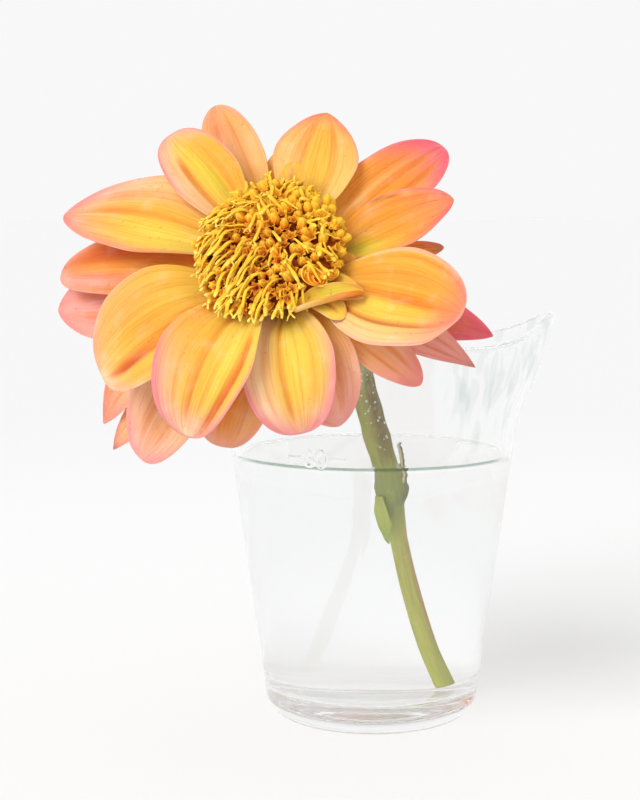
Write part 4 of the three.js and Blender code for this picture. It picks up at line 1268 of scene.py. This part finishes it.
# some end in a pair of short arms
forked = draw.uniform(0, 1, count) < disc["forks"]
armTints = [disc["gold"], disc["gold"], disc["pale"], disc["pale"]]
own, tip = heading[forked], tip[forked]
end = start[forked] + own * (length[forked] - 0.2)[:, None]
for side in (-1, 1):
    turn = side * spread((0.35, 0.8), len(own))
    arm = np.stack([own[:, 0] * np.cos(turn) - own[:, 1] * np.sin(turn),
                    own[:, 0] * np.sin(turn) + own[:, 1] * np.cos(turn)], -1)
    straps.append(strapsAt(end, arm, spread((0.9, 1.5), len(end)), width[forked] * 0.6, tip, tip + 0.25,
                           tip + 0.1, armTints))
for number, made in enumerate(straps, 1):
    addPiece(f"disc_straps_{number}", floretSkin, "disc", *made)
for number, values in enumerate(disc["curled"], 1):
    addPiece(f"disc_curled_{number}", floretSkin, "disc", *curledFloret(*values))

# the dome that carries them
base, foot, radius, widest = disc["base"], disc["foot"], disc["radius"], disc["widest"]
dome = arc(0, 0, 1, 0, 90, 18)[1:-1] * [radius, disc["crown"] - widest] + [0, widest]
points, faces = turnedPiece(np.concatenate([
    [[0, base], [foot, base], [foot + 0.8, base + 1], [radius - 0.9, widest - 1.2],
     [radius - 0.2, widest - 0.4]],
    dome, [[0, disc["crown"]]],
]), allRound(4))
bark = 0.45 * ramp(9, 4, points[:, 2]) + 0.3 * ramp(2, 9, points[:, 0])
paint = mixed(disc["dark"], disc["bark"], bark)
paint = mixed(paint, disc["amber"], 0.5 * ramp(3, 11, points[:, 1]))
addPiece("disc_dome", floretSkin, "disc", onHead(points), faces, paint=paint, nodes=["disc_florets"])
print("disc made")


studio = {
    # the floor's tint close by, painted lighter there as a pool of light round the glass, and far off,
    # and the distances between which it changes
    "floorRadius": 9.0, "floorLitNear": 0.96, "floorFar": 0.912, "floorFrom": 0.1, "floorTo": 0.6,
    "horizon": 0.94, "upper": 0.72, "zenith": 0.62,
    "keyStrength": 2.0, "keySpread": 34, "keyFrom": (-0.89, -1.28, 0.95),
    "cameraAt": (-0.011, -0.397, 0.1105), "cameraPitch": 6.2, "lens": 85, "bounces": 32,
}

floorSurface = newSurface("pale floor")
measure = {"operation": "LENGTH"}
away = floorSurface.node("ShaderNodeVectorMath", measure, [floorSurface.place()], output=1)
away = floorSurface.ramp(studio["floorFrom"], studio["floorTo"], away)
# painted light: the floor is paler close to the glass than far off
floorTone = floorSurface.blend("MIX", away, (studio["floorLitNear"],) * 3, (studio["floorFar"],) * 3)
floorMaterial = floorSurface.finish(floorSurface.node("ShaderNodeBsdfPrincipled", {}, {
    "Base Color": floorTone, "Roughness": 0.9, "Specular IOR Level": 0.1,
}))
turn = allRound(5)
ring = np.stack([np.cos(turn), np.sin(turn), 0 * turn], -1) * studio["floorRadius"]
floorMesh = bpy.data.meshes.new("floor")
floorMesh.from_pydata(ring.tolist(), [], [list(range(len(ring)))])
floorMesh.materials.append(floorMaterial)
floor = bpy.data.objects.new("floor", floorMesh)
bpy.context.scene.collection.objects.link(floor)

world = bpy.data.worlds.new("studio")
bpy.context.scene.world = world
air = Surface(world)
upward = air.node("ShaderNodeSeparateXYZ", {}, [air.node("ShaderNodeTexCoord", output=0)], output=2)
sky = air.node("ShaderNodeValToRGB", {"stops": [
    (0.12, (studio["horizon"],) * 3), (0.5, (studio["upper"],) * 3), (1.0, (studio["zenith"],) * 3),
]}, [upward])
air.finish(air.node("ShaderNodeBackground", {}, {"Color": sky, "Strength": 1.0}))

lamp = bpy.data.lights.new("key", "SUN")
lamp.energy = studio["keyStrength"]
lamp.angle = np.radians(studio["keySpread"])
key = bpy.data.objects.new("key", lamp)
bpy.context.scene.collection.objects.link(key)
# neither the glass nor the water mirrors the lamp
key.visible_glossy = key.visible_transmission = False
key.rotation_mode = "QUATERNION"
key.rotation_quaternion = Vector(studio["keyFrom"]).to_track_quat("Z", "Y")

view = bpy.data.cameras.new("camera")
view.lens = studio["lens"]
view.clip_start, view.clip_end = 0.01, 50
camera = bpy.data.objects.new("camera", view)
camera.location = studio["cameraAt"]
camera.rotation_euler = (np.radians(90 - studio["cameraPitch"]), 0, 0)
bpy.context.scene.collection.objects.link(camera)
bpy.context.scene.camera = camera
bpy.context.scene.view_settings.view_transform = "Standard"
cycles = bpy.context.scene.cycles
cycles.max_bounces = cycles.transmission_bounces = studio["bounces"]
cycles.glossy_bounces = cycles.transparent_max_bounces = studio["bounces"]
print("studio set")
